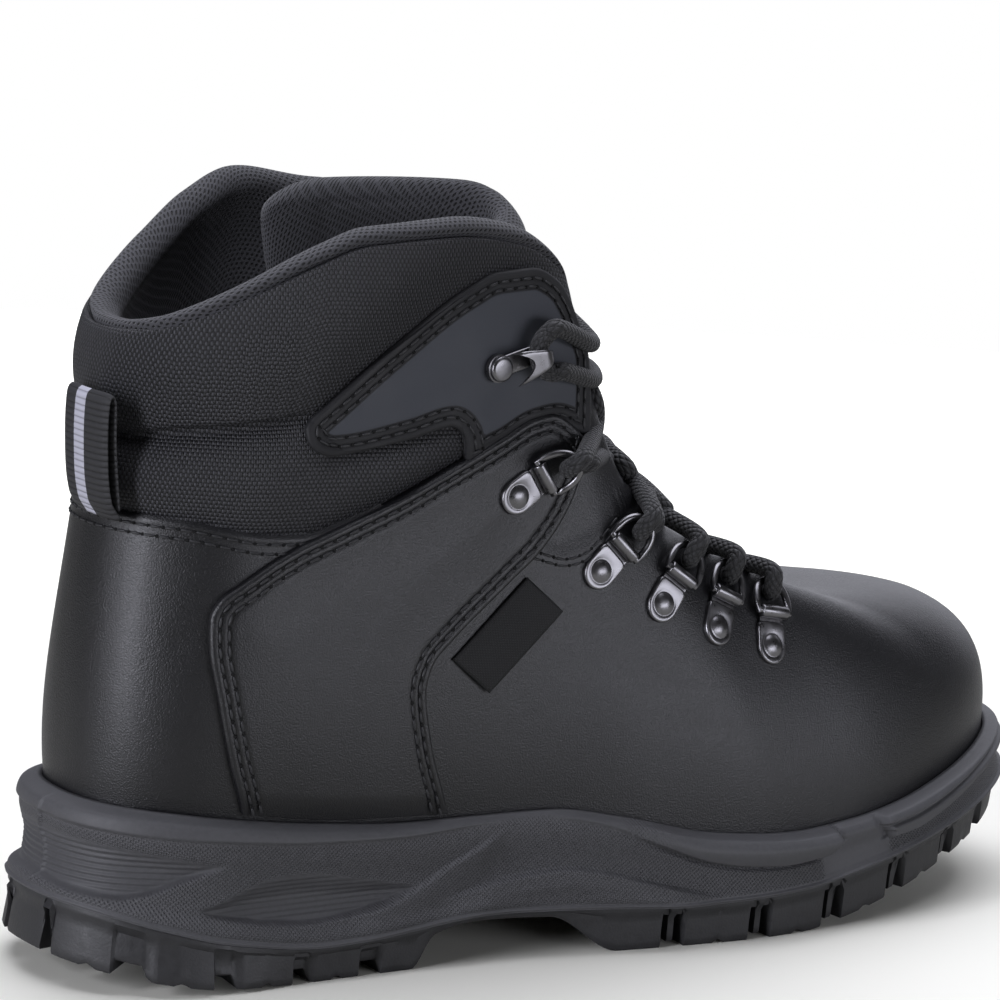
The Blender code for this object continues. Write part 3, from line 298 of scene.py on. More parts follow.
def run_length(path):
    """Distance along a path at each of its points."""
    return np.concatenate([[0], np.cumsum(np.linalg.norm(np.diff(path, axis=0), axis=1))])


def wrap(turn):
    """Place round the boot: 0 is the heel, -1 and 1 the toe, below 0 the outer side."""
    return (np.asarray(turn, float) + 1.0) % 2.0 - 1.0


def rounded_end(distance, length):
    return (1 - (1 - np.clip(distance / length, 0, 1)) ** ROUND_POWER) ** (1 / ROUND_POWER)


def outline(turn):
    """Outline of the upper's foot on the sole, seen from above."""
    turn = wrap(turn)
    x = UPPER_BACK + (UPPER_TIP - UPPER_BACK) * (1 - np.cos(np.pi * turn)) / 2
    half = np.where(turn < 0, -look_up(PLAN, "x", "outer", x), look_up(PLAN, "x", "inner", x))
    ends = rounded_end(x - UPPER_BACK, HEEL_ROUND) * rounded_end(UPPER_TIP - x, TOE_ROUND)
    swing = TOE_SWING * ease((x - SWING_FROM) / (UPPER_TIP - SWING_FROM))
    return np.stack([x, swing + half * ends], -1)


def outward(turn):
    small = 1e-3
    along = unit(outline(turn + small) - outline(turn - small))
    return np.stack([-along[..., 1], along[..., 0]], -1)


def beside_outline(turn, reach, z):
    """Points that stand out from that outline by a reach, at a height."""
    level = outline(turn) + outward(turn) * np.asarray(reach, float)[..., None]
    return np.concatenate([level, z[..., None]], -1)


def sole_height(turn, name):
    return look_up(SIDE, "x", name, outline(turn)[..., 0])


def flare(turn, share):
    """How far the midsole's side stands out from that outline at a share of its height."""
    s = np.abs(wrap(turn))
    stations = [look_up(FLARE, "share", name, share) for name in Flare._fields[1:]]
    slots = np.clip(np.searchsorted(FLARE_AT, s, side="right") - 1, 0, len(FLARE_AT) - 2)
    low = np.take(FLARE_AT, slots)
    high = np.take(FLARE_AT, slots + 1)
    mix = ease((s - low) / (high - low))
    stack = np.stack(np.broadcast_arrays(*stations))
    picked = np.take_along_axis(stack, slots[None], 0)[0]
    after = np.take_along_axis(stack, slots[None] + 1, 0)[0]
    return picked * (1 - mix) + after * mix


def even_turns(half_count, density):
    """Places round the boot, closer together where density is higher, the same on both sides."""
    fine = np.linspace(0, 1, ARC_POINTS)
    steps = np.diff(run_length(outline(fine * ALMOST_ROUND)))
    weight = np.concatenate([[0], np.cumsum(steps * density((fine[1:] + fine[:-1]) / 2))])
    half = np.interp(np.linspace(0, weight[-1], half_count + 1), weight, fine)
    return np.concatenate([-half[::-1], half[1:-1]])


ARC_TURNS = np.linspace(0, ALMOST_ROUND, ARC_POINTS)
ARC_LENGTH = run_length(outline(ARC_TURNS))
SOLE_STRETCH = SOLE_LENGTH / (UPPER_TIP - UPPER_BACK)


def arc_at(turn):
    """Distance along the outline from the back of the heel."""
    return np.interp(np.abs(wrap(turn)), ARC_TURNS, ARC_LENGTH)


def spot_arc(x):
    """That distance where the side of the sole has a given x."""
    inside = UPPER_BACK + (np.asarray(x, float) - 2.0) / SOLE_STRETCH
    inside = np.clip(inside, UPPER_BACK, UPPER_TIP)
    return np.interp(inside, outline(ARC_TURNS)[:, 0], ARC_LENGTH)


def mould_line(table):
    return np.column_stack([spot_arc([spot.x for spot in table]), [spot.z for spot in table]])


def line_height(table, arc):
    line = mould_line(table)
    return curve(line[:, 0], line[:, 1], arc)


def within(arc, table, soft):
    """1 between the ends of a line of the mould, fading over a soft length at each end."""
    line = mould_line(table)
    return ease((arc - line[0, 0]) / soft) * ease((line[-1, 0] - arc) / soft)


def side_relief(turn, z):
    """Relief of the mould on the side of the midsole, and where its surface is grained."""
    arc = arc_at(turn)
    low, rim = sole_height(turn, "seam"), sole_height(turn, "rim")
    relief = LIP_DEPTH * ease((1.3 - (z - low)) / 0.4)
    grain = ease((z - low - 1.5) / 0.5)

    rim_edge = z - line_height(RIM_BAND, arc)
    at_rim = np.clip(within(arc, RIM_BAND, 6.0) + ease((spot_arc(7.0) - arc) / 6.0), 0, 1)
    relief += RIM_DEPTH * at_rim * ease(rim_edge / 1.2) * ease((rim - z + 3.0) / 6.0)
    grain *= 1 - at_rim * ease((rim_edge + 1.2) / 2.4)

    heel_edge = z - line_height(HEEL_BAND, arc)
    rib_edge = line_height(RIB_TOP, arc) - z
    on_heel = arc < spot_arc(30.0)
    deep = HEEL_DEPTH + HEEL_DEEPER * ease((arc - spot_arc(6.0)) / 14.0)
    relief -= deep * on_heel * ease(heel_edge / 0.9) * ease((rib_edge + 2.0) / 7.0)
    ribbed = on_heel * ease((heel_edge - 1.0) / 1.2) * ease(rib_edge / 1.5)
    relief += HEEL_RIB * ribbed * np.cos(2 * np.pi * z / HEEL_RIB_PITCH)
    grain *= 1 - on_heel * ease((heel_edge + 0.2) / 0.6) * ease((rib_edge + 0.6) / 0.8)

    over_low = z - line_height(LENS_LOW, arc)
    under_top = line_height(LENS_TOP, arc) - z
    in_lens = within(arc, LENS_LOW, 1.0) * (over_low > -1.5) * (under_top > -0.5)
    tall = np.maximum(over_low + under_top, 0.0)
    hollow = in_lens * ease((over_low + 0.2) / 0.8)
    hollow *= ease(under_top / np.clip(tall * 0.55, 1.0, 6.5))
    relief -= LENS_DEPTH * hollow * np.clip(tall / 7.0, 0, 1)
    ribbed = in_lens * ease(over_low / 1.5) * ease(under_top / 1.5)
    relief += LENS_RIB * ribbed * np.cos(2 * np.pi * z / LENS_RIB_PITCH)
    grain *= 1 - in_lens * ease(over_low / 0.6) * ease((under_top + 0.3) / 0.8)

    sweep = line_height(SWEEP, arc) - z
    swept = ease((sweep + 0.4) / 0.8) * ease((11.0 - sweep) / 10.0)
    relief += SWEEP_DEPTH * within(arc, SWEEP, 9.0) * swept

    wave = line_height(LOWER_WAVE, arc) - z
    waved = ease((wave + 0.5) / 1.0) * ease((9.0 - wave) / 6.0)
    relief += WAVE_DEPTH * within(arc, LOWER_WAVE, 16.0) * waved

    ball = z - line_height(BALL_BAND, arc)
    last = mould_line(BALL_BAND_END)
    end = np.interp(z, last[:, 1], last[:, 0])
    on_ball = ease((arc - spot_arc(138.0)) / 20.0) * ease((end - arc) / 0.7)
    over_ball = ease((ball + 0.3) / 0.7)
    crown = np.sin(np.pi * np.clip(ball / np.maximum(rim - z + ball, 3.0), 0, 1))
    relief += on_ball * (BALL_DEPTH * over_ball + BALL_CROWN * crown)
    below, behind = on_ball * hump(ball + 0.8, 0.5), over_ball * hump(arc - end - 1.0, 0.8)
    relief -= END_GROOVE * (below + behind)
    grain *= 1 - on_ball * ease((ball + 0.4) / 0.6)

    drops = mould_line(BUMPER_DROP)
    drop = np.interp(arc, drops[:, 0], drops[:, 1])
    start = mould_line(BUMPER_START)
    begin = np.interp(-z, -start[:, 1], start[:, 0])
    on_toe = ease((arc - begin) / 0.7)
    bumper = z - (rim - drop)
    over_bumper = ease((bumper + 0.2) / 0.8)
    relief += BUMPER_DEPTH * on_toe * over_bumper
    relief -= END_GROOVE * over_bumper * hump(arc - begin + 0.8, 0.8)
    relief -= BUMPER_GROOVE * on_toe * hump(bumper - drop * 0.52, 0.6)
    grain *= 1 - on_toe * ease((bumper + 0.3) / 0.6)
    on_panel = ease((arc - end) / 2.0) * (1 - on_toe)
    grain *= 1 - on_panel

    swing, rise = np.array(MOULD_SEAM).T
    across = arc * np.sign(wrap(turn)) + np.interp(z, rise, swing)
    relief += SEAM_DEPTH * hump(across, 0.45) * ease((z - low - 1.5) / 1.5) * (arc < 12)
    return relief, np.clip(grain, 0, 1)


def to_frame(points):
    """Millimetres from the back of the sole to metres from the middle of the boot."""
    return (np.asarray(points, float) - np.array([SOLE_LENGTH / 2, SOLE_MIDDLE, 0.0])) * 0.001


def loop_faces(rows, count, closed=False):
    """Quads of a grid whose rows run round a loop, and the grid places of their corners."""
    row, k = np.meshgrid(np.arange(rows if closed else rows - 1), np.arange(count), indexing="ij")
    row, k = row.ravel(), k.ravel()
    corners = [(row, k), (row, k + 1), (row + 1, k + 1), (row + 1, k)]
    faces = np.stack([(r % rows) * count + c % count for r, c in corners], -1)
    places = np.stack([r * (count + 1) + c for r, c in corners], -1)
    return faces, places


def bridge_loop(start, count):
    """Strips across a loop that runs toe, outer side, heel, inner side."""
    faces = []
    for k in range(count // 2):
        corners = [start + k, start + k + 1, start + count - k - 1, start + (count - k) % count]
        faces.append(list(dict.fromkeys(corners)))
    return faces


def bridged(rows, count):
    """Faces of a body of loops, with strips across its first loop and its last one."""
    ends = bridge_loop(0, count) + bridge_loop((rows - 1) * count, count)
    return loop_faces(rows, count)[0].tolist() + ends


def boot_mesh(name, points, faces, finishes, cloth=None, marks=None, finish_of=None):
    """Mesh object in the boot's frame with its faces turned outwards."""
    points = to_frame(np.reshape(points, (-1, 3)))
    faces = [list(face) for face in faces]
    size = sum(
        np.dot(points[face[0]], np.cross(points[face[k]], points[face[k + 1]]))
        for face in faces[:: max(1, len(faces) // 4000)]
        for k in range(1, len(face) - 1)
    )
    if size < 0:
        faces = [face[::-1] for face in faces]
        if cloth is not None:
            cloth = cloth[:, ::-1]
    mesh = bpy.data.meshes.new(name)
    mesh.from_pydata(points.tolist(), [], faces)
    for skin in finishes:
        mesh.materials.append(skin)
    if cloth is not None:
        corners = np.zeros((len(mesh.loops), 2), np.float32)
        corners[: cloth.size // 2] = cloth.reshape(-1, 2)
        mesh.uv_layers.new(name="cloth").data.foreach_set("uv", corners.ravel())
    for key, values in (marks or {}).items():
        layer = mesh.attributes.new(key, "FLOAT", "POINT").data
        layer.foreach_set("value", np.asarray(values, np.float32))
    if finish_of is not None:
        mesh.polygons.foreach_set("material_index", np.asarray(finish_of, np.int32))
    mesh.shade_smooth()
    made = bpy.data.objects.new(name, mesh)
    scene.collection.objects.link(made)
    return made


def fit_to_boot(made, slot, *nodes):
    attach(made, "root")
    if nodes:
        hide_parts(*nodes)


def surface_mm(tree):
    """Object coordinates in millimetres."""
    place = node(tree, "ShaderNodeTexCoord", {})["Object"]
    return node(tree, "ShaderNodeVectorMath", {0: place, "Scale": 1000.0}, operation="SCALE")[0]


def cloth_coordinates(tree):
    """The piece's own cloth map in millimetres, across and up."""
    flat = node(tree, "ShaderNodeUVMap", {}, uv_map="cloth")["UV"]
    parts = node(tree, "ShaderNodeSeparateXYZ", {0: flat})
    return parts["X"], parts["Y"]


def mark(tree, name):
    return node(tree, "ShaderNodeAttribute", {}, attribute_name=name)["Fac"]


def noise(tree, vector, scale, detail=3.0, roughness=0.5):
    settings = {"Vector": vector, "Scale": scale, "Detail": detail, "Roughness": roughness}
    return node(tree, "ShaderNodeTexNoise", settings)["Fac"]


def blend_colour(tree, factor, low, high):
    """Colour between two others, each a socket or numbers; 6, 7 and 2 are the colour sockets."""
    ends = [(*end, 1.0) if isinstance(end, tuple) else end for end in (low, high)]
    return node(tree, "ShaderNodeMix", {0: factor, 6: ends[0], 7: ends[1]}, data_type="RGBA")[2]


def paint(tree, shader, factor, low, high):
    feed(tree, shader, "Base Color", blend_colour(tree, factor, low, high))


def bump(tree, shader, height, distance, strength=1.0, under=None):
    """Bump on the shader's normal, over an earlier bump if there is one."""
    links = {"Height": height, "Distance": distance, "Strength": strength}
    if under is not None:
        links["Normal"] = under
    normal = node(tree, "ShaderNodeBump", links)["Normal"]
    feed(tree, shader, "Normal", normal)
    return normal


def slanted(tree, place, turns):
    """Wave across a surface, with its turns for each millimetre along and up."""
    parts = [number(tree, "MULTIPLY", *pair) for pair in zip(place, turns)]
    return number(tree, "SINE", number(tree, "MULTIPLY", number(tree, "ADD", *parts), 2 * math.pi))


foam, tree, shader = finish("midsole_foam", (0.04, 0.04, 0.044), 0.62)
cloth_mm = cloth_coordinates(tree)
breaks = number(tree, "MULTIPLY_ADD", slanted(tree, cloth_mm, (0.75, 0.95)), 0.5, 0.5)
hatch = number(tree, "MULTIPLY", slanted(tree, cloth_mm, (1.15, -0.8)), breaks)
pores = noise(tree, surface_mm(tree), 0.9, 4.0, 0.6)
hatched = number(tree, "MULTIPLY", hatch, mark(tree, "grain"))
tone = number(tree, "MULTIPLY_ADD", hatched, 0.3, number(tree, "MULTIPLY", pores, 0.9))
paint(tree, shader, tone, (0.044, 0.044, 0.047), (0.094, 0.094, 0.1))
feed(tree, shader, "Roughness", spread(tree, pores, 0.3, 0.7, 0.52, 0.68))
first = bump(tree, shader, hatched, 0.0002, 1.0)
bump(tree, shader, pores, 0.00012, 0.5, first)

sole_turns = even_turns(400, lambda s: 1.0 + 1.6 * hump(s, 0.05))
sole_count = len(sole_turns)
shares = np.concatenate([np.linspace(0, 0.9, 84), np.linspace(0.9, 1, 13)[1:]])
turn_grid, share_grid = np.meshgrid(sole_turns, shares)
low_edge, rim_edge = sole_height(turn_grid, "seam") + 0.15, sole_height(turn_grid, "rim")
height = low_edge + (rim_edge - low_edge) * share_grid
relief, grained = side_relief(turn_grid, height)
reach = flare(turn_grid, share_grid) + relief * ease((1 - share_grid) / 0.06)
wall = beside_outline(turn_grid, reach, height)
cup_heights = [sole_height(sole_turns, name) for name in ("rim", "bed")]
cup = [beside_outline(sole_turns, CUP_GAP, cup_height) for cup_height in cup_heights]
midsole_rows = len(shares) + len(cup)
arc_row = np.append(arc_at(sole_turns) * np.sign(sole_turns), 0.0)
arc_row[-1] = arc_row[0] + 2 * ARC_LENGTH[-1]
uv_rows = np.zeros((midsole_rows, sole_count + 1, 2))
uv_rows[..., 0] = arc_row
uv_rows[: len(shares), :, 1] = np.column_stack([height, height[:, 0]])
midsole = boot_mesh(
    "midsole_cup",
    np.concatenate([wall, cup]),
    bridged(midsole_rows, sole_count),
    [foam],
    cloth=uv_rows.reshape(-1, 2)[loop_faces(midsole_rows, sole_count)[1]],
    marks={"grain": np.concatenate([grained.ravel(), np.zeros(len(cup) * sole_count)])},
)
fit_to_boot(midsole, "midsole_foam", "midsole")

# Outsole. Black nitrile rubber, moulded and bonded under the midsole. Chamfered lugs stand along
# its edge with open gaps between them, the waist is arched clear of the floor and grooves cross
# the middle of the tread.
OUTSOLE_GAP, BACK_FLARE, LIP_HEIGHT = 0.15, 3.0, 2.3
Gap = namedtuple("Gap", "x half rise deep slope reach rib")
FULL_RISE = 30.0
GAPS = (
    Gap(9.8, 0.9, FULL_RISE, 1.8, 0.8, 5.0, 0.0),
    Gap(18.3, 2.6, 3.2, 1.3, 3.4, 12.0, 0.0),
    Gap(35.5, 1.7, 3.2, 1.3, 3.4, 12.0, 0.0),
    Gap(55.2, 1.5, 3.2, 1.3, 3.2, 12.0, 0.0),
    Gap(74.0, 2.2, 3.2, 1.3, 1.4, 12.0, 0.0),
    Gap(154.7, 2.5, FULL_RISE, 2.6, 1.2, 11.0, 0.8),
    Gap(178.5, 2.5, FULL_RISE, 2.6, 1.2, 11.0, 0.8),
    Gap(200.8, 2.5, FULL_RISE, 2.6, 1.2, 11.0, 0.8),
    Gap(221.4, 2.4, FULL_RISE, 2.6, 1.2, 11.0, 0.8),
    Gap(241.0, 2.3, FULL_RISE, 2.6, 1.2, 11.0, 0.8),
    Gap(256.0, 2.2, FULL_RISE, 2.6, 1.2, 11.0, 0.8),
)
GAP_ROOF, RIB_RISE, RIB_DEEP, NICK_HALF, NICK_RISE = 2.8, 1.2, 0.9, 1.7, 0.9
WALL_ROWS = (
    *((0, 0), (0.05, 0.05), (0.12, 0.15), (0.2, 0.9), (0.35, 1.0)),
    *((0.55, 1.15), (0.8, 1.35), (0.94, 1.5), (1, 1.9)),
)
UNDER_ROWS = (2.6, 4.5, 7.0, 9.5, 12.0, 13.4, 15.6, 16.0, 19.0, 19.4, 22.0)
GROOVE_FROM, GROOVE_TO, GROOVE_RISE, BAR_HALF = 15.8, 19.2, 5.0, 2.2
CROSS_GROOVES = (47.0, 68.0, 169.0, 192.0, 214.0)
OUTER, INNER = -1.0, 1.0
SIDES = ((OUTER, "outer"), (INNER, "inner"))

rubber, tree, shader = finish("outsole_rubber", (0.012, 0.012, 0.013), 0.55)
here = surface_mm(tree)
dust = noise(tree, here, 0.35, 5.0, 0.65)
paint(tree, shader, dust, (0.013, 0.013, 0.014), (0.04, 0.04, 0.042))
feed(tree, shader, "Roughness", spread(tree, dust, 0.3, 0.7, 0.42, 0.6))
bump(tree, shader, noise(tree, here, 1.6, 3.0), 0.00012, 0.5)


def edge_turn(x, side):
    share = (np.asarray(x, float) - UPPER_BACK) / (UPPER_TIP - UPPER_BACK)
    return side * np.arccos(1 - 2 * share) / np.pi


def between(at, low, high, before, after):
    """1 from low to high, fading outside them over a length before and one after."""
    return ease((at - low) / before + 1) * ease((high - at) / after + 1)


gap_arcs = arc_at(edge_turn([gap.x for gap in GAPS], INNER))
nick_arcs = [(a + b) / 2 + 1.0 for a, b in zip(gap_arcs, gap_arcs[1:]) if b - a < 30.0]
tread_arcs = [np.linspace(0, ARC_LENGTH[-1], 280)]
for gap, place in zip(GAPS, gap_arcs):
    sides = [-gap.half - 0.5, -gap.half - 0.2, -gap.half]
    sides += [gap.half, gap.half + 0.5, gap.half + gap.slope]
    ribs = [-gap.rib - 0.3, -gap.rib, gap.rib, gap.rib + 0.3] if gap.rib else [0.0]
    tread_arcs.append(place + np.array(sides + ribs))
for place in nick_arcs:
    tread_arcs.append(place + NICK_HALF * np.array([-1.0, -0.3, 0.3, 1.0]))
tread_arcs = np.unique(np.concatenate(tread_arcs))
tread_arcs = tread_arcs[np.append(np.diff(tread_arcs) > 0.1, True)]
half_turns = np.interp(tread_arcs, ARC_LENGTH, ARC_TURNS)
half_turns[[0, -1]] = 0.0, 1.0
tread_turns = np.concatenate([-half_turns[::-1], half_turns[1:-1]])
tread_count = len(tread_turns)
arc = arc_at(tread_turns)
lip = flare(tread_turns, np.zeros(tread_count))
seam_height = sole_height(tread_turns, "seam") - OUTSOLE_GAP
ground_height = sole_height(tread_turns, "ground")
recess, rise, reach = np.zeros((3, tread_count))
for gap, place in zip(GAPS, gap_arcs):
    rib = between(arc - place, -gap.rib, gap.rib, 0.3, 0.3) * (gap.rib > 0)
    hollow = between(arc - place, -gap.half, gap.half, 0.5, gap.slope)
    recess = np.maximum(recess, hollow * (gap.deep * (1 - rib) + RIB_DEEP * rib))
    full = np.minimum(gap.rise, seam_height - ground_height - GAP_ROOF)
    opened = between(arc - place, -gap.half, gap.half, 0.5, min(gap.slope, 1.4))
    rise = np.maximum(rise, opened * (full * (1 - rib) + RIB_RISE * rib))
    reach = np.maximum(reach, gap.reach * (opened > 0))
for place in nick_arcs:
    nick = np.clip(1 - np.abs(arc - place) / NICK_HALF, 0, 1)
    rise, reach = np.maximum(rise, NICK_RISE * nick), np.maximum(reach, 9.0 * (nick > 0))
at_back = ease((0.3 - np.abs(tread_turns)) / 0.12)
tread_rings = []
for share, inset in WALL_ROWS:
    z = seam_height + (ground_height + rise - seam_height) * share
    sunk = recess * ease((seam_height - z - LIP_HEIGHT) / 0.6)
    face = lip - inset + BACK_FLARE * at_back * share - sunk
    tread_rings.append(beside_outline(tread_turns, face, z))
tread_x = outline(tread_turns)[:, 0]
bars = [between(tread_x, x - BAR_HALF, x + BAR_HALF, 0.8, 0.8) for x in CROSS_GROOVES]
crossed = np.max(bars, axis=0)
for inset in UNDER_ROWS:
    lifted = rise * ease((reach + 1.4 - inset) / 1.4)
    groove = 1.0 * (GROOVE_FROM < inset < GROOVE_TO) if inset < GROOVE_TO else crossed
    z = np.minimum(ground_height + np.maximum(lifted, GROOVE_RISE * groove), seam_height - 1.2)
    face = lip - inset + BACK_FLARE * at_back - recess * (inset < 3.0)
    tread_rings.append(beside_outline(tread_turns, face, z))
faces = bridged(len(tread_rings), tread_count)
outsole = boot_mesh("outsole_tread", tread_rings, faces, [rubber])
outsole.data.set_sharp_from_angle(angle=math.radians(40))
fit_to_boot(outsole, "outsole_rubber", "outsole")

# Insole. A loose footbed of thin foam with a brushed cloth top, cut to the inside of the upper
# and laid on the floor of the midsole's cup.
WALL, FOOTBED_THICKNESS = 2.6, 3.6
footbed, tree, shader = finish("footbed_cloth", (0.015, 0.015, 0.016), 0.95)
fibres = noise(tree, surface_mm(tree), 1.1, 6.0, 0.7)
paint(tree, shader, fibres, (0.008, 0.008, 0.009), (0.03, 0.03, 0.032))
bump(tree, shader, fibres, 0.0004, 0.7)
bed_turns = even_turns(60, np.ones_like)
bed_height = sole_height(bed_turns, "bed") + 0.3
bed_rings = [
    beside_outline(bed_turns, -(WALL + 0.6 + inset), bed_height + rise)
    for inset, rise in ((0.0, 0.0), (0.0, 2.6), (0.5, 3.3), (1.4, FOOTBED_THICKNESS))
]
insole = boot_mesh("footbed", bed_rings, bridged(len(bed_rings), len(bed_turns)), [footbed])
fit_to_boot(insole, "insole_foam", "insole")

# Upper. Smooth black leather counter and vamp, pulled over the last and stuck down into the cup of
# the midsole. Above the counter's top edge the collar is padded ballistic cloth with one quilted
# seam at the back, bound by a soft roll of knit, and the whole boot is lined with spacer mesh.
COLLAR_PAD, LOWER_PUFF, UPPER_PUFF = 6.0, 2.0, 3.8
Edge = namedtuple("Edge", "s x y z inner")
EDGE = (
    Edge(0.0, 18.0, 0.0, 151.5, 0.0),
    Edge(0.03, 18.3, 4.7, 151.6, 0.0),
    Edge(0.1, 22.5, 15.5, 153.5, 0.0),
    Edge(0.2, 42.0, 30.0, 164.5, 2.0),
    Edge(0.25, 54.0, 32.8, 170.2, 5.0),
    Edge(0.3, 67.0, 34.0, 174.5, 6.0),
    Edge(0.38, 91.0, 33.0, 175.5, 1.5),
    Edge(0.44, 113.0, 29.0, 172.0, 0.0),
    Edge(0.485, 129.0, 24.5, 163.0, 0.0),
    Edge(0.525, 134.6, 21.8, 148.0, 0.0),
    Edge(0.57, 137.0, 20.6, 131.0, 0.0),
    Edge(0.62, 144.2, 19.6, 113.4, 0.0),
    Edge(0.68, 162.6, 18.2, 98.0, 0.0),
    Edge(0.74, 183.0, 16.5, 86.0, 0.0),
    Edge(0.8, 197.5, 13.5, 79.6, 0.0),
    Edge(0.88, 206.0, 7.5, 78.4, 0.0),
    Edge(1.0, 208.5, 0.0, 78.2, 0.0),
)
Column = namedtuple("Column", "s square low high")
COLUMN = (
    Column(0.0, 1.0, 1.6, 0.0),
    Column(0.2, 1.0, 3.0, -1.5),
    Column(0.3, 1.0, 3.0, -2.5),
    Column(0.42, 1.0, 2.5, -2.0),
    Column(0.5, 1.1, 2.0, -0.5),
    Column(0.58, 1.25, 2.0, 0.0),
    Column(0.66, 1.5, 1.5, 0.0),
    Column(0.75, 2.1, 0.8, 0.0),
    Column(0.88, 2.7, 0.4, 0.0),
    Column(1.0, 3.0, 0.3, 0.0),
)
LOW_SWELL_PEAK = 0.25 * 0.75**3
Padding = namedtuple("Padding", "x seam low_top high_foot")
PADDING = (
    Padding(8, 112.0, 129.0, 129.0),
    Padding(26, 111.0, 131.2, 131.4),
    Padding(45, 107.6, 133.4, 133.7),
    Padding(54, 107.2, 134.0, 135.6),
    Padding(64, 109.6, 126.5, 143.0),
    Padding(80, 115.0, 128.0, 154.0),
    Padding(95, 121.5, 130.0, 163.0),
    Padding(107, 127.5, 132.0, 166.5),
    Padding(118, 133.0, 135.0, 168.0),
    Padding(135, 141.0, 143.0, 170.0),
)
QUILT = spots(
    (9.0, 128.6), (16.8, 129.1), (26.0, 131.3), (36.0, 132.3), (45.5, 133.7), (58.0, 135.5),
)
VAMP_EDGE = spots(
    (112.0, 102.5), (120.4, 99.8), (126.5, 98.2), (131.0, 99.1), (135.5, 102.4), (141.0, 107.0),
    (150.0, 113.0),
)
Crease = namedtuple("Crease", "x z run climb depth width")
CREASES = (
    Crease(150.0, 66.0, 26.0, -10.0, 0.3, 3.4),
    Crease(160.0, 55.0, 20.0, -6.0, 0.2, 3.0),
    Crease(139.0, 78.0, 16.0, -10.0, 0.22, 2.8),
    Crease(26.0, 84.0, 4.0, 12.0, 0.2, 3.0),
    Crease(70.0, 92.0, 24.0, 8.0, 0.16, 4.0),
)
SHOULDER_SIDE, SHOULDER_BACK, ROLL_SWELL, ROLL_CREASE = 0.3, 0.8, 1.1, 2.0
SEAM_TUCK, TUCK_LENGTH, QUILT_DEPTH, QUILT_END = 0.9, 2.4, 1.9, 57.0
PUCKER, PUCKER_PITCH, FACING_STEP, FACING_FROM = 0.2, 4.2, 0.6, 111.0
COLLAR_END, THROAT_SEAM, COUNTER_EDGE = 0.515, 0.965, 0.35


def top_edge(turn):
    turn = wrap(turn)
    s = np.abs(turn)
    y = look_up(EDGE, "s", "y", s) * np.sign(turn)
    z = look_up(EDGE, "s", "z", s) + look_up(EDGE, "s", "inner", s) * (turn > 0)
    return np.stack([look_up(EDGE, "s", "x", s), y, z], -1)


def puff(x, z, top, s):
    """How far the padded collar swells out above its seam, in two rolls."""
    seam = look_up(PADDING, "x", "seam", x)
    low_top = look_up(PADDING, "x", "low_top", x)
    foot = look_up(PADDING, "x", "high_foot", x)
    low = np.sin(np.pi * np.clip((z - seam) / (low_top - seam), 0, 1))
    high = np.sin(np.pi * np.clip((z - foot) / (np.maximum(top - foot, 6.0) + 7.0), 0, 1)) ** 0.8
    return LOWER_PUFF * low * ease((108.0 - x) / 30.0) + UPPER_PUFF * high * ease((0.46 - s) / 0.14)


def upper_point(turn, rise):
    """Outer face of the upper: turn goes round the boot, rise from the rim to the top edge."""
    turn, rise = np.broadcast_arrays(wrap(turn), np.asarray(rise, float))
    s = np.abs(turn)
    foot, edge, base = outline(turn), top_edge(turn), sole_height(turn, "rim")
    square = look_up(COLUMN, "s", "square", s)
    flat = np.arcsin(np.sqrt(np.clip(rise, 0, 1)))
    mix = np.clip(square - 1, 0, 1)
    angle = (1 - mix) * flat + mix * rise * np.pi / 2
    up = np.sin(angle) ** (2 / square)
    across = 1 - np.clip(np.cos(angle), 0, 1) ** (2 / square)
    z = base + (edge[..., 2] - base) * up
    level = foot + (edge[..., :2] - foot) * across[..., None]
    low = look_up(COLUMN, "s", "low", s) * rise * (1 - rise) ** 3 / LOW_SWELL_PEAK
    high = look_up(COLUMN, "s", "high", s) * (4 * rise * (1 - rise)) ** 2
    swell = low + high + puff(level[..., 0], z, edge[..., 2], s)
    level = level + outward(turn) * swell[..., None]
    return np.concatenate([level, z[..., None]], -1)


def upper_normal(turn, rise):
    small = 2e-3
    turn, rise = np.asarray(turn, float), np.asarray(rise, float)
    along = upper_point(turn + small, rise) - upper_point(turn - small, rise)
    low, high = np.clip(rise - small, 0, 1), np.clip(rise + small, 0, 1)
    return unit(np.cross(upper_point(turn, high) - upper_point(turn, low), along))


def on_upper(turn, rise, lift):
    return upper_point(turn, rise) + upper_normal(turn, rise) * np.asarray(lift)[..., None]


def locate(x, z, side):
    """Place on the upper that shows at x, z from the side."""
    x, z = np.asarray(x, float), np.asarray(z, float)
    share = (x - UPPER_BACK) / (UPPER_TIP - UPPER_BACK)
    turn = side * np.arccos(1 - 2 * np.clip(share, 0.01, 0.99)) / np.pi
    rise = np.full_like(x, 0.5)
    small = 1e-3
    for _ in range(40):
        spot = upper_point(turn, rise)
        by_turn = (upper_point(turn + small, rise) - spot) / small
        by_rise = (upper_point(turn, rise + small) - spot) / small
        miss_x, miss_z = x - spot[..., 0], z - spot[..., 2]
        whole = by_turn[..., 0] * by_rise[..., 2] - by_rise[..., 0] * by_turn[..., 2]
        turn = turn + 0.7 * (miss_x * by_rise[..., 2] - miss_z * by_rise[..., 0]) / whole
        rise = rise + 0.7 * (by_turn[..., 0] * miss_z - by_turn[..., 2] * miss_x) / whole
        rise = np.clip(rise, 0.004, 0.985)
    return turn, rise


def wall_thickness(turn, rise):
    point = upper_point(turn, rise)
    seam = look_up(PADDING, "x", "seam", point[..., 0])
    padded = ease((point[..., 2] - seam) / 25.0) * ease((COLLAR_END - np.abs(wrap(turn))) / 0.08)
    return WALL + COLLAR_PAD * padded


def line_z(table, x):
    return look_up(table, "x", "z", x)


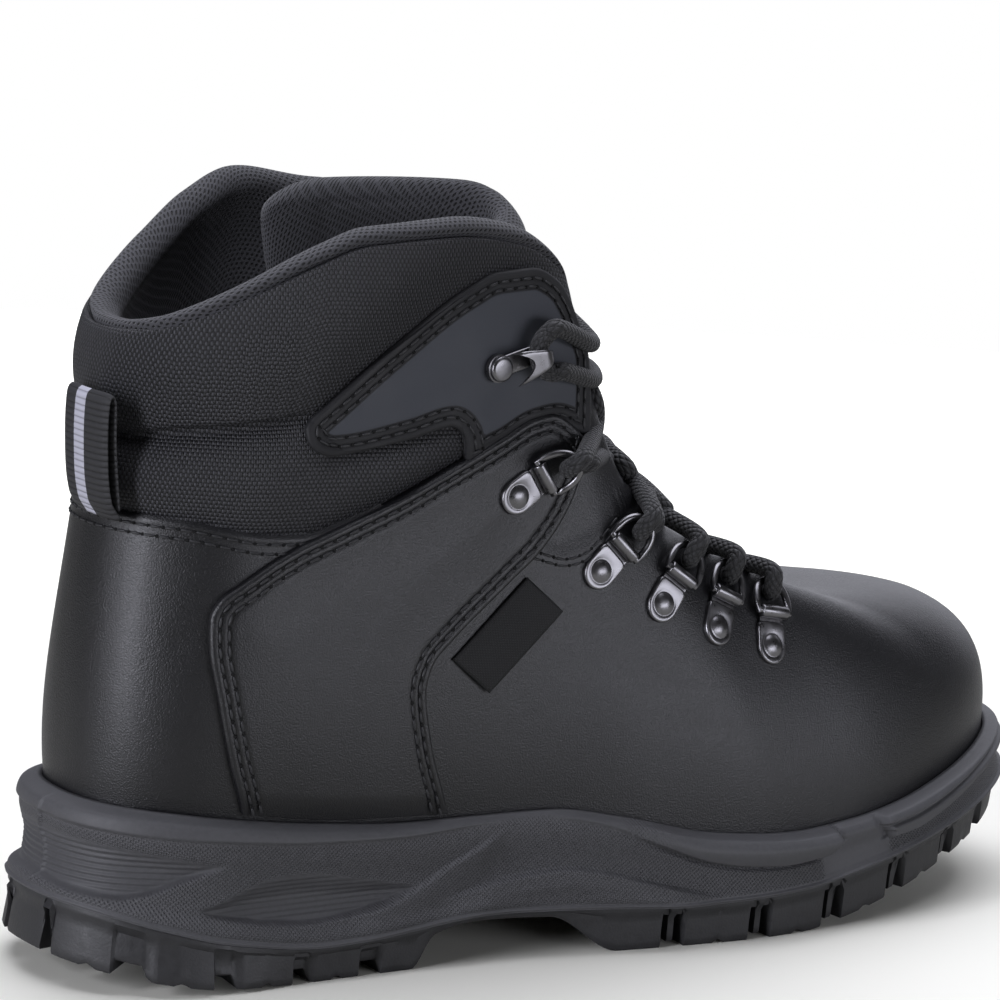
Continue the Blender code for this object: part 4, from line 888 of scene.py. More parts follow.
def skin_relief(turn, rise):
    """Forms on the upper's skin: collar, quilted seam, vamp edge and creases."""
    point = upper_point(turn, rise)
    s = np.abs(wrap(turn))
    x, z = point[..., 0], point[..., 2]
    collar = ease((0.5 - s) / 0.06)
    over_seam = z - look_up(PADDING, "x", "seam", x)
    cloth = (over_seam > 0) * collar
    relief = -SEAM_TUCK * cloth * np.exp(-np.abs(over_seam) / TUCK_LENGTH)
    quilt = z - line_z(QUILT, x)
    fade = collar * ease((QUILT_END - x) / 9.0)
    arc = arc_at(turn)
    pucker = PUCKER * np.sin(arc * 2 * np.pi / PUCKER_PITCH + 0.6 * np.sin(arc * 0.31))
    fold = np.where(quilt > 0, hump(quilt, 1.0), np.exp(-np.abs(quilt) / TUCK_LENGTH))
    relief += fade * (-QUILT_DEPTH * fold + pucker * hump(quilt, 3.0))
    facing = ease((z - line_z(VAMP_EDGE, x)) / 1.4) * ease((x - FACING_FROM) / 3.0)
    facing *= ease((0.70 - s) / 0.06)
    relief -= FACING_STEP * facing * (s > 0.44) * (1 - cloth)
    for crease in CREASES:
        length = math.hypot(crease.run, crease.climb)
        along = ((x - crease.x) * crease.run + (z - crease.z) * crease.climb) / length
        beside = ((z - crease.z) * crease.run - (x - crease.x) * crease.climb) / length
        relief -= crease.depth * hump(beside, crease.width) * hump(along, length * 0.6)
    return relief


leather, tree, shader = finish(
    "black_leather", (0.009, 0.009, 0.0105), 0.42, coat_weight=0.12, coat_roughness=0.3
)
here = surface_mm(tree)
grain_fine, grain_wide = noise(tree, here, 2.4, 2.0), noise(tree, here, 0.06)
paint(tree, shader, grain_wide, (0.0045, 0.0045, 0.0054), (0.0075, 0.0075, 0.009))
feed(tree, shader, "Roughness", spread(tree, grain_fine, 0.35, 0.65, 0.36, 0.46))
bump(tree, shader, grain_fine, 0.00016)


def new_group(name, inputs, outputs):
    """Shader node group of plain values, with the sockets inside it."""
    group = bpy.data.node_groups.new(name, "ShaderNodeTree")
    for labels, way in ((inputs, "INPUT"), (outputs, "OUTPUT")):
        for label in labels:
            group.interface.new_socket(label, in_out=way, socket_type="NodeSocketFloat")
    ends = group.nodes.new("NodeGroupInput"), group.nodes.new("NodeGroupOutput")
    return group, ends[0].outputs, ends[1].inputs


def use_group(tree, group, **inputs):
    return node(tree, "ShaderNodeGroup", inputs, node_tree=group)


def threads(tree, group, **pitches):
    """Group laid on the piece's cloth map, with the pitch of its threads in millimetres."""
    flat = zip(cloth_coordinates(tree), pitches.values())
    turns = [number(tree, "MULTIPLY", place, 1 / pitch) for place, pitch in flat]
    return use_group(tree, group, **dict(zip(pitches, turns)))


def arch(tree, value):
    """Round back of a yarn in each unit of a value."""
    return number(tree, "SINE", number(tree, "MULTIPLY", number(tree, "FRACT", value), math.pi))


def yarn(tree, round_back, crossing):
    """Height of a yarn that bends over the ones that cross it."""
    rounded = number(tree, "POWER", round_back, 0.5)
    return number(tree, "MULTIPLY", rounded, number(tree, "ADD", crossing, 0.3))


# Plain weave. Height is the height of the yarns, used for bump and, in some cloths, for painted
# shade between the yarns; Over is the height of the warp yarns only where they lie on top, used
# only to paint lighter warp crowns and shade between the yarns.
weave, weave_in, weave_out = new_group("plain_weave", ("Warp", "Weft"), ("Height", "Over"))
warp, weft = weave_in["Warp"], weave_in["Weft"]
warp_arch, weft_arch = arch(weave, warp), arch(weave, weft)
cells = number(weave, "ADD", number(weave, "FLOOR", warp), number(weave, "FLOOR", weft))
over = number(weave, "FLOORED_MODULO", cells, 2.0)
below = number(weave, "SUBTRACT", 1.0, over)
kept_warp = number(weave, "MULTIPLY", yarn(weave, warp_arch, weft_arch), over)
kept_weft = number(weave, "MULTIPLY", yarn(weave, weft_arch, warp_arch), below)
weave.links.new(number(weave, "ADD", kept_warp, kept_weft), weave_out["Height"])
weave.links.new(kept_warp, weave_out["Over"])

ballistic, tree, shader = finish("ballistic_cloth", (0.012, 0.012, 0.013), 0.55)
woven = threads(tree, weave, Warp=0.6, Weft=1.0)
# Painted highlight and shade: the warp yarns that lie on top are lighter along their crowns,
# standing in for their sheen, and the cloth is near-black beside and between them.
paint(tree, shader, woven["Over"], (0.0025, 0.0025, 0.003), (0.044, 0.044, 0.051))
bump(tree, shader, woven["Height"], 0.00025)


def off_middle(tree, value, weight):
    """Weighted square of the distance from the middle of each unit of a value."""
    away = number(tree, "SUBTRACT", number(tree, "FRACT", value), 0.5)
    square = number(tree, "POWER", number(tree, "ABSOLUTE", away), 2.0)
    return number(tree, "MULTIPLY", square, weight)


mesh_knit, knit_in, knit_out = new_group("spacer_mesh", ("Across", "Along"), ("Height",))
course = knit_in["Along"]
lean = number(mesh_knit, "MULTIPLY", number(mesh_knit, "FRACT", course), 0.4)
step_over = number(mesh_knit, "MULTIPLY_ADD", number(mesh_knit, "FLOOR", course), 0.5, lean)
shifted = number(mesh_knit, "ADD", knit_in["Across"], step_over)
squares = off_middle(mesh_knit, shifted, 5.5), off_middle(mesh_knit, course, 4.0)
from_hole = number(mesh_knit, "SQRT", number(mesh_knit, "ADD", *squares))
mesh_knit.links.new(spread(mesh_knit, from_hole, 0.45, 0.8, 0.0, 1.0), knit_out["Height"])

knit, tree, shader = finish("tongue_knit", (0.012, 0.012, 0.013), 0.85, sheen_weight=0.15)
looped = threads(tree, mesh_knit, Across=1.5, Along=1.15)
# Painted shade: the colour is near-black in the holes of the spacer mesh and lighter on the knit
# between them.
paint(tree, shader, looped["Height"], (0.001, 0.001, 0.0012), (0.05, 0.05, 0.056))
bump(tree, shader, looped["Height"], 0.0005, 0.9)

LEATHER_ROWS, CLOTH_ROWS, SHOULDER_ROWS, ROLL_ROWS, LINING_ROWS = 44, 80, 7, 20, 24
upper_turns = even_turns(
    250, lambda s: 1.0 + 0.9 * ease((s - 0.3) / 0.1) * ease((0.72 - s) / 0.1)
)
upper_count = len(upper_turns)
samples = np.linspace(0, 1, 301)
line_turn, line_rise = np.meshgrid(upper_turns, samples)
lines = upper_point(line_turn, line_rise)
over_seam = lines[..., 2] - look_up(PADDING, "x", "seam", lines[..., 0])
seam_rise = np.array([np.interp(0, over_seam[:, k], samples) for k in range(upper_count)])
collar_share = ease((0.54 - np.abs(upper_turns)) / 0.05)
seam_rise = np.minimum(seam_rise, THROAT_SEAM) * collar_share + THROAT_SEAM * (1 - collar_share)
leather_rise = seam_rise * np.linspace(0, 1, LEATHER_ROWS)[:, None] ** 0.9
cloth_rise = seam_rise + (1 - seam_rise) * np.linspace(0, 1, CLOTH_ROWS)[:, None]
leather_lift = skin_relief(upper_turns, np.minimum(leather_rise, seam_rise - 1e-4))
leather_lift += COUNTER_EDGE * ease((leather_rise - seam_rise + 0.012) / 0.008) * collar_share
bed_line = beside_outline(upper_turns, 0.0, sole_height(upper_turns, "bed") + 0.3)
outer_rows = [bed_line[None], on_upper(upper_turns, leather_rise, leather_lift)]
outer_rows.append(on_upper(upper_turns, cloth_rise, skin_relief(upper_turns, cloth_rise + 1e-4)))
whole = np.ones(upper_count)
rim_normal = upper_normal(upper_turns, whole)
rim_start = outer_rows[-1][-1]
rim_climb = unit(upper_point(upper_turns, whole) - upper_point(upper_turns, whole - 0.02))
half = wall_thickness(upper_turns, whole) / 2
behind = ease((0.16 - np.abs(upper_turns)) / 0.12)
shoulder = SHOULDER_SIDE + (SHOULDER_BACK - SHOULDER_SIDE) * behind
for row in range(1, SHOULDER_ROWS + ROLL_ROWS):
    on_roll = np.clip((row - SHOULDER_ROWS) / ROLL_ROWS, 0, 1)
    angle = shoulder * min(row / SHOULDER_ROWS, 1.0) + (np.pi - shoulder) * on_roll
    swell = ROLL_SWELL * np.sin(np.pi * on_roll) ** 0.6 * (row > SHOULDER_ROWS)
    swell -= ROLL_CREASE * hump((angle - shoulder) * half, 0.55)
    reach = (half + swell * collar_share)[:, None]
    middle = rim_start - rim_normal * half[:, None]
    way = rim_normal * np.cos(angle)[:, None] + rim_climb * np.sin(angle)[:, None]
    outer_rows.append((middle + reach * way)[None])
lining_rise = np.linspace(1, 0, LINING_ROWS)[:, None] * np.ones(upper_count)
outer_rows.append(on_upper(upper_turns, lining_rise, -wall_thickness(upper_turns, lining_rise)))
outer_rows.append(beside_outline(upper_turns, -WALL, bed_line[:, 2])[None])
upper_grid = np.concatenate(outer_rows)
upper_rows = len(upper_grid)
faces, places = loop_faces(upper_rows, upper_count, closed=True)


def cloth_lengths(grid, reference):
    """Lengths round and up a closed grid of loops, in millimetres, as UV places."""
    along = run_length(np.concatenate([grid[reference], grid[reference][:1]]))
    climb = np.linalg.norm(np.diff(grid, axis=0, append=grid[:1]), axis=2)
    up = np.concatenate([np.zeros((1, grid.shape[1])), np.cumsum(climb, axis=0)])
    up = np.concatenate([up, up[:, :1]], axis=1)
    return np.dstack([np.broadcast_to(along, up.shape), up]).reshape(-1, 2)


uv = cloth_lengths(upper_grid, 1 + LEATHER_ROWS + CLOTH_ROWS // 2)[places]
row_of_face = np.repeat(np.arange(upper_rows), upper_count)
turn_of_face = np.abs(np.tile(upper_turns, upper_rows))
cloth_from = 1 + LEATHER_ROWS
roll_from = LEATHER_ROWS + CLOTH_ROWS + SHOULDER_ROWS
finish_of = np.zeros(len(faces), int)
in_collar = turn_of_face < COLLAR_END
finish_of[(row_of_face >= cloth_from) & (row_of_face < roll_from) & in_collar] = 1
finish_of[(row_of_face >= roll_from) & in_collar] = 2
finish_of[row_of_face >= roll_from + ROLL_ROWS // 2] = 2
skins = [leather, ballistic, knit]
upper = boot_mesh("upper_body", upper_grid, faces.tolist(), skins, cloth=uv, finish_of=finish_of)
fit_to_boot(upper, "black_leather", "upper")

# Tongue. Spacer mesh over soft foam, sewn in at the vamp and wrapped back round the ankle at its
# top, with a thick rolled edge and a stitched crease just inside it.
Tongue = namedtuple("Tongue", "x z half wrap thick")
TONGUE = (
    Tongue(216.0, 73.6, 15.0, 4.0, 3.0),
    Tongue(202.0, 76.6, 21.0, 7.0, 4.0),
    Tongue(186.0, 84.5, 25.0, 10.0, 6.0),
    Tongue(168.0, 97.0, 27.0, 13.0, 7.0),
    Tongue(151.5, 112.0, 28.0, 16.0, 8.0),
    Tongue(143.0, 130.0, 27.0, 20.0, 8.0),
    Tongue(138.5, 148.0, 25.5, 27.0, 9.0),
    Tongue(133.5, 163.0, 24.0, 42.0, 10.0),
    Tongue(131.0, 172.5, 23.0, 50.0, 9.0),
    Tongue(128.0, 182.6, 22.5, 54.0, 8.5),
)
TONGUE_TOP_LEAN, TONGUE_CORNER, TONGUE_FAR_REACH, TONGUE_NEAR_DROP = 0.06, 0.045, 65.0, 12.0
TONGUE_ROUND, TONGUE_ROUND_DROP = 0.2, 0.1
TONGUE_WIDTH, TONGUE_LENGTH, ROLLED_EDGE, EDGE_CREASE = 88.0, 118.0, 9.0, 7.5


def tongue_face(along, across, depth):
    """Point of the tongue: along from toe end to top, across from -1 to 1, depth inwards."""
    shares = np.linspace(0, 1, len(TONGUE))

    def read(name, at):
        return curve(shares, [getattr(row, name) for row in TONGUE], at)

    small = 1e-3
    ahead, behind = np.clip(along + small, 0, 1), np.clip(along - small, 0, 1)
    run, climb = (read(name, ahead) - read(name, behind) for name in "xz")
    length = np.hypot(run, climb)
    level = ease((along - 0.55) / 0.35)
    lean = run / length * (1 - level) + TONGUE_TOP_LEAN * level
    inward = np.stack([-climb / length, np.zeros_like(length), lean], -1)
    bend = across * np.pi / 2
    middle = np.stack([read("x", along), read("half", along) * np.sin(bend), read("z", along)], -1)
    face_in = inward * np.cos(bend)[..., None] + np.array([0, -1.0, 0]) * np.sin(bend)[..., None]
    wrapped = read("wrap", along)
    far = (TONGUE_FAR_REACH - wrapped) * ease((along - 0.5) / 0.2) * ease((across - 0.4) / 0.6)
    back = wrapped * (1 - np.cos(bend)) ** 1.15 + far
    middle[..., 2] -= TONGUE_NEAR_DROP * level * ease((0.35 - across) / 1.15)
    return middle + inward * back[..., None] + face_in * (depth * read("thick", along))[..., None]


def closed_sheet(rows, columns):
    """Faces of a grid, of the same grid again below it and of the border between them."""
    row, k = np.meshgrid(np.arange(rows - 1), np.arange(columns - 1), indexing="ij")
    corner = (row * columns + k).ravel()
    top = np.stack([corner, corner + 1, corner + columns + 1, corner + columns], -1)
    size = rows * columns
    border = list(range(columns)) + [row * columns + columns - 1 for row in range(1, rows)]
    border += [(rows - 1) * columns + k for k in range(columns - 2, -1, -1)]
    border += [row * columns for row in range(rows - 2, 0, -1)]
    rim = [(a, size + a, size + b, b) for a, b in zip(border, border[1:] + border[:1])]
    return np.concatenate([top, (top + size)[:, ::-1], np.array(rim)])


def sheet_lengths(grid):
    """Lengths along and across an open grid, in millimetres, as UV places."""
    across = np.cumsum(np.linalg.norm(np.diff(grid, axis=1, prepend=grid[:, :1]), axis=2), axis=1)
    along = np.cumsum(np.linalg.norm(np.diff(grid, axis=0, prepend=grid[:1]), axis=2), axis=0)
    return np.stack([across - across[:, [grid.shape[1] // 2]], along], -1).reshape(-1, 2)


def round_over(inside, width):
    """Share of its full height that a rounded edge has at a distance inside it."""
    return np.sqrt(1 - (1 - np.clip(inside / width, 0, 1)) ** 2)


tongue_rows, tongue_columns = 130, 100
tongue_shares = np.linspace(0, 1, tongue_rows), np.linspace(-1, 1, tongue_columns)
along, across = np.meshgrid(tongue_shares[0], np.sin(tongue_shares[1] * np.pi / 2), indexing="ij")
last_bit = np.clip((np.abs(across) - 1 + TONGUE_ROUND) / TONGUE_ROUND, 0, 1)
dropped = TONGUE_CORNER * across**4 + TONGUE_ROUND_DROP * (1 - np.sqrt(1 - last_bit**2))
corner = along * (1 - dropped)
edge_mm = np.minimum((1 - np.abs(across)) * TONGUE_WIDTH / 2, (1 - along) * TONGUE_LENGTH)
thin = 0.5 - 0.5 * round_over(edge_mm, ROLLED_EDGE)
crease = 0.04 * hump(edge_mm - EDGE_CREASE, 1.1) * ease((along - 0.5) / 0.2)
tongue_out = tongue_face(corner, across, thin * 0.98 + crease * 0.4)
tongue_in = tongue_face(corner, across, 1 - thin * 0.98 - crease)
faces = closed_sheet(tongue_rows, tongue_columns)
uv = np.concatenate([sheet_lengths(tongue_out), sheet_lengths(tongue_in)])[faces]
tongue = boot_mesh("tongue_pad", [tongue_out, tongue_in], faces.tolist(), [knit], cloth=uv)
fit_to_boot(tongue, "tongue_knit", "tongue")

# Eyestays. One panel of blue-grey nubuck on each side of the collar, cut to a long tip towards the
# back and bordered in black leather. It carries the lace hook, and two rows sew it down all round.
Edges = namedtuple("Edges", "rear top front low")
Panel = namedtuple("Panel", "edges lift sewn size grid free")
EYESTAY_EDGES = Edges(
    spots((58.5, 125.9), (55.6, 127.2), (53.7, 129.6), (53.3, 132.0), (54.8, 134.6), (58.5, 137.8)),
    spots(
        (58.5, 137.8), (62.4, 141.0), (75.6, 151.2), (94.7, 163.6), (104.6, 167.0), (115.0, 167.2),
        (124.0, 163.4), (128.5, 158.0),
    ),
    spots((133.6, 125.0), (134.4, 143.0), (128.5, 158.0)),
    spots(
        (58.5, 125.9), (61.0, 125.6), (81.3, 128.4), (92.5, 130.8), (95.8, 128.6), (97.6, 122.0),
        (107.3, 124.6), (117.0, 128.6), (122.5, 129.3), (128.5, 127.4), (133.6, 125.0),
    ),
)
EYESTAY = Panel(EYESTAY_EDGES, 1.5, (2.4, 4.4), (82.0, 34.0), (70, 22), Edges._fields)
NUBUCK_FROM, PANEL_FOOT, SEWN_DEPTH, PANEL_CROWN = 5.1, -0.6, 0.3, 0.3

nubuck, tree, shader = finish("grey_nubuck", (0.03, 0.033, 0.041), 0.8)
here = surface_mm(tree)
nap, rub = noise(tree, here, 3.0, 4.0, 0.6), noise(tree, here, 0.09, 2.0)
worn = number(tree, "MULTIPLY_ADD", nap, 0.35, number(tree, "MULTIPLY", rub, 0.6))
middle_grey = blend_colour(tree, worn, (0.03, 0.033, 0.042), (0.066, 0.071, 0.084))
inlaid = spread(tree, mark(tree, "inset"), NUBUCK_FROM, NUBUCK_FROM + 0.25, 0.0, 1.0)
paint(tree, shader, inlaid, (0.009, 0.009, 0.0105), middle_grey)
feed(tree, shader, "Roughness", spread(tree, rub, 0.3, 0.7, 0.6, 0.75))
bump(tree, shader, nap, 0.00005, 0.4)


def along_spots(table, at):
    """Points at shares of the length of a smooth line through spots of the side view."""
    points = np.array(table)
    length = run_length(points)
    place = np.asarray(at) * length[-1]
    return np.column_stack([curve(length, column, place) for column in points.T])


def from_lines(points, lines):
    """Distance in the side view from points to the nearest of some lines."""
    flat = points.reshape(-1, 2)
    least = np.full(len(flat), np.inf)
    for line in lines:
        a, b = line[:-1], line[1:]
        step = b - a
        size = np.maximum((step**2).sum(1), 1e-12)
        for k in range(0, len(flat), 4000):
            away = flat[k : k + 4000, None] - a[None]
            share = np.clip((away * step).sum(2) / size, 0, 1)
            gap = np.linalg.norm(away - share[..., None] * step, axis=2).min(1)
            least[k : k + 4000] = np.minimum(least[k : k + 4000], gap)
    return least.reshape(points.shape[:-1])


def border_steps(length, middle):
    """Shares of a length, fine near both ends where a panel is turned down and sewn."""
    turned_down = [0, 0.12, 0.3, 0.55, 0.9]
    near = np.array([*turned_down, *np.arange(13, 54, 4) / 10, 5.8, 6.4, 7.2]) / length
    between_ends = np.linspace(near[-1], 1 - near[-1], middle)[1:-1]
    return np.concatenate([near, between_ends, 1 - near[::-1]])


def panel_mesh(name, panel, side, skin):
    """Leather panel on the upper: filled between its edges, turned down at the free ones, with a
    soft trough under each sewn row."""
    edges = panel.edges
    u, v = (border_steps(*pair) for pair in zip(panel.size, panel.grid))
    left, right = along_spots(edges.rear, v)[:, None], along_spots(edges.front, v)[:, None]
    bottom, over = along_spots(edges.low, u)[None], along_spots(edges.top, u)[None]
    v, u = v[:, None, None], u[None, :, None]
    flat = (1 - v) * bottom + v * over + (1 - u) * left + u * right
    flat -= (1 - u) * (1 - v) * bottom[0, 0] + u * (1 - v) * bottom[0, -1]
    flat -= (1 - u) * v * over[0, 0] + u * v * over[0, -1]
    fine = np.linspace(0, 1, 160)
    inside = from_lines(flat, [along_spots(getattr(edges, key), fine) for key in panel.free])
    turn, rise = locate(flat[..., 0], flat[..., 1], side)
    high = panel.lift * (0.45 + 0.55 * round_over(inside, 1.1))
    high = high + PANEL_CROWN * ease((inside - 6.0) / 14.0)
    for row in panel.sewn:
        high -= SEWN_DEPTH * hump(inside - row, 0.55)
    near_sole = ease((flat[..., 1] - sole_height(turn, "rim")) / 8.0)
    high = high * near_sole + np.minimum(high, 1.0) * (1 - near_sole)
    layers = [on_upper(turn, rise, lift) for lift in (high, np.full(turn.shape, PANEL_FOOT))]
    marks = {"inset": np.tile(inside.ravel(), 2)}
    return boot_mesh(name, layers, closed_sheet(*turn.shape).tolist(), [skin], marks=marks)


for side, word in SIDES:
    eyestay = panel_mesh(f"eyestay_panel_{word}", EYESTAY, side, nubuck)
    fit_to_boot(eyestay, "grey_nubuck", f"eyestay_{word}")

# Quarters. A side panel of the same smooth leather on each side, laid over the counter, the collar
# and the vamp, its foot going down into the cup of the sole.
QUARTER_EDGES = Edges(
    spots(
        (40.2, 42.2), (35.8, 55.5), (32.8, 70.0), (31.0, 83.0), (31.2, 88.5), (33.2, 92.9),
        (38.4, 96.8), (45.6, 101.4), (53.0, 105.0),
    ),
    spots(
        (53.0, 105.0), (66.0, 109.8), (79.4, 114.9), (93.0, 121.1), (107.3, 127.3), (117.0, 131.4),
        (122.0, 132.0), (127.0, 129.6), (133.0, 124.0),
    ),
    spots(
        (95.2, 37.4), (92.9, 43.1), (88.6, 56.0), (86.8, 68.0), (88.6, 74.2), (94.0, 79.8),
        (110.6, 92.8), (118.0, 98.6), (127.6, 110.8), (133.0, 124.0),
    ),
    spots((40.2, 42.2), (67.0, 38.5), (95.2, 37.4)),
)
QUARTER_FREE = ("rear", "top", "front")
QUARTER = Panel(QUARTER_EDGES, 2.1, (2.2, 4.2), (78.0, 84.0), (66, 70), QUARTER_FREE)
for side, word in SIDES:
    quarter = panel_mesh(f"quarter_panel_{word}", QUARTER, side, leather)
    fit_to_boot(quarter, "black_leather", f"quarter_{word}")

# Side tag. A plain folded tab of black woven ribbon, caught under the front seam of the outer
# quarter and lying loose on the vamp.
TAG = spots((94.2, 75.0), (115.2, 93.2), (124.7, 84.4), (104.3, 66.2))
TAG_LENGTH, TAG_WIDTH, TAG_SHEET, TAG_LIE, TAG_LOOSE = 28.0, 13.0, 0.75, 0.55, 0.75
ribbon, tree, shader = finish("tag_ribbon", (0.006, 0.006, 0.0065), 0.7)
woven = threads(tree, weave, Warp=0.42, Weft=0.5)
# Painted highlight and shade: lighter crowns on the warp yarns that lie on top, darker beside and
# between the yarns.
paint(tree, shader, woven["Over"], (0.003, 0.003, 0.0032), (0.013, 0.013, 0.014))
bump(tree, shader, woven["Height"], 0.00012, 0.7)


def strip_lengths(across, along):
    """Lengths across and along a flat strip, as UV places."""
    return np.stack(np.broadcast_arrays(across, along), -1).reshape(-1, 2)


tag_rows, tag_columns = 22, 40
v, u = np.linspace(0, 1, tag_rows)[:, None], np.linspace(0, 1, tag_columns)[None]
corners = np.array(TAG)
low, high = (
    (1 - u[..., None]) * a + u[..., None] * b for a, b in (corners[[0, 1]], corners[[3, 2]])
)
flat = (1 - v[..., None]) * low + v[..., None] * high
turn, rise = locate(flat[..., 0], flat[..., 1], OUTER)
inside = np.minimum(np.minimum(u, 1 - u) * TAG_LENGTH, np.minimum(v, 1 - v) * TAG_WIDTH)
lie = TAG_LIE + TAG_LOOSE * ease(v / 0.7) * (0.7 + 0.3 * np.sin(u * 3.0 + 0.4))
top = on_upper(turn, rise, lie + TAG_SHEET * round_over(inside, 0.5))
under = on_upper(turn, rise, lie - 0.15)
faces = closed_sheet(tag_rows, tag_columns)
lengths = strip_lengths(u * TAG_LENGTH, v * TAG_WIDTH)
uv = np.concatenate([lengths, lengths])[faces]
tag = boot_mesh("side_tag_ribbon", [top, under], faces.tolist(), [ribbon], cloth=uv)
fit_to_boot(tag, "loop_webbing", "side_tag")

# Stitching. Bonded black thread in double rows, with a tiny near-black bead between every two
# stitches as painted shade in the needle holes. The rows follow the panels' edges, the top of the
# counter, the vamp's curved edge and the throat.
STITCH_PITCH, STITCH_LENGTH, THREAD = 3.6, 3.1, 0.74
# Size of the near-black beads that are painted shade in the needle holes.
HOLE_SHADE_SIZE, SEWN_IN = (0.00046, 0.00046, 0.00018), 0.1
QUARTER_MIDDLE, VAMP_MIDDLE = np.array([70.0, 75.0]), np.array([130.0, 60.0])
VAMP_ROWS, THROAT_ROWS, COUNTER_ROWS = (1.5, 3.1), (5.6, 7.8), (2.0, 4.2)
REAR_FOOT, FRONT_FOOT, VAMP_SEWN, VAMP_FROM = 42.6, 38.0, (116.0, 141.0), 118.0
THROAT_SEWN, COUNTER_SEWN = (0.562, 0.64), (-0.262, 0.262)
thread, tree, shader = finish("black_thread", (0.012, 0.012, 0.013), 0.5)
twist = noise(tree, surface_mm(tree), 3.5, 2.0)
paint(tree, shader, twist, (0.006, 0.006, 0.007), (0.03, 0.03, 0.032))
# Painted shade: near-black beads stand in for the shade inside the needle holes.
hole_shade, tree, shader = finish("needle_hole_shade", (0.0015, 0.0015, 0.0015), 0.95)

row_points, row_out, row_edges = [], [], []


def sew(points, outs):
    """Add one stitch row: places in the boot and the way out of the leather there."""
    start = sum(len(p) for p in row_points)
    row_points.append(points)
    row_out.append(outs)
    row_edges.extend((start + k, start + k + 1) for k in range(len(points) - 1))


def sew_line(flat, side, lift):
    turn, rise = locate(flat[:, 0], flat[:, 1], side)
    sew(on_upper(turn, rise, np.full(len(flat), lift)), upper_normal(turn, rise))


def inside_row(line, distance, towards):
    """Line moved inwards by a distance, without the parts that come nearer than that to it."""
    run = unit(np.gradient(line, axis=0))
    shift = np.column_stack([-run[:, 1], run[:, 0]])
    shift *= np.sign(((towards - line) * shift).sum(1).mean())
    moved = line + shift * distance
    return moved[from_lines(moved, [line]) > distance - 0.12]


fine = np.linspace(0, 1, 240)
rear, top, front = (along_spots(edge, fine) for edge in QUARTER.edges[:3])
rear_top = np.concatenate([rear, top[1:]])
around = Edges(*(along_spots(edge, fine) for edge in EYESTAY.edges))
round_line = [around.low[::-1], around.rear[1:], around.top[1:], around.front[::-1][1:]]
round_line = np.concatenate(round_line)
run = np.gradient(round_line, axis=0)
run /= np.maximum(np.linalg.norm(run, axis=1, keepdims=True), 1e-9)
into_eyestay = np.column_stack([run[:, 1], -run[:, 0]])
vamp_x = np.linspace(*VAMP_SEWN, 60)
vamp_line = np.column_stack([vamp_x, line_z(VAMP_EDGE, vamp_x)])
for side in (OUTER, INNER):
    for edge, other, foot in ((rear_top, front, REAR_FOOT), (front, rear_top, FRONT_FOOT)):
        for row in QUARTER.sewn:
            line = inside_row(edge, row, QUARTER_MIDDLE)
            line = line[(from_lines(line, [other]) > QUARTER.sewn[0]) & (line[:, 1] > foot)]
            sew_line(line, side, QUARTER.lift - SEWN_IN)
    for row in EYESTAY.sewn:
        moved = round_line + into_eyestay * row
        kept = from_lines(moved, [round_line]) > row - 0.15
        over_quarter = moved[:, 1] - np.interp(moved[:, 0], rear_top[:, 0], rear_top[:, 1])
        kept &= ~((over_quarter < 0.5) & (moved[:, 0] > 60))
        stops = np.flatnonzero(np.diff(kept.astype(int)))
        for part in np.split(np.arange(len(moved)), stops + 1):
            if kept[part[0]] and len(part) > 6:
                sew_line(moved[part], side, EYESTAY.lift - SEWN_IN)
    for row in VAMP_ROWS:
        line = inside_row(vamp_line, row, VAMP_MIDDLE)
        line = line[from_lines(line, [front]) > 0.8]
        sew_line(line[line[:, 0] > VAMP_FROM], side, 0.05)
    for row in THROAT_ROWS:
        turns, column_rise = side * np.linspace(*THROAT_SEWN, 60), np.linspace(0.6, 1.0, 200)
        columns = upper_point(turns[:, None], column_rise[None])
        length = np.linalg.norm(np.diff(columns, axis=1), axis=2)[:, ::-1].cumsum(1)[:, ::-1]
        rises = np.array([np.interp(-row, -down, column_rise[:-1]) for down in length])
        sew(on_upper(turns, rises, skin_relief(turns, rises) + 0.05), upper_normal(turns, rises))
back_turns, column_rise = np.linspace(*COUNTER_SEWN, 260), np.linspace(0.3, 1.0, 400)
columns = upper_point(back_turns[:, None], column_rise[None])
over_seam = columns[..., 2] - look_up(PADDING, "x", "seam", columns[..., 0])
for row in COUNTER_ROWS:
    rises = np.array([np.interp(0, above + row, column_rise) for above in over_seam])
    sew(on_upper(back_turns, rises, np.full(len(rises), 0.1)), upper_normal(back_turns, rises))

stitch_mesh = bpy.data.meshes.new("stitching")
stitch_mesh.from_pydata(to_frame(np.concatenate(row_points)).tolist(), row_edges, [])
out_mark = stitch_mesh.attributes.new("out", "FLOAT_VECTOR", "POINT")
out_mark.data.foreach_set("vector", np.concatenate(row_out).astype(np.float32).ravel())
stitching = bpy.data.objects.new("stitching", stitch_mesh)
scene.collection.objects.link(stitching)

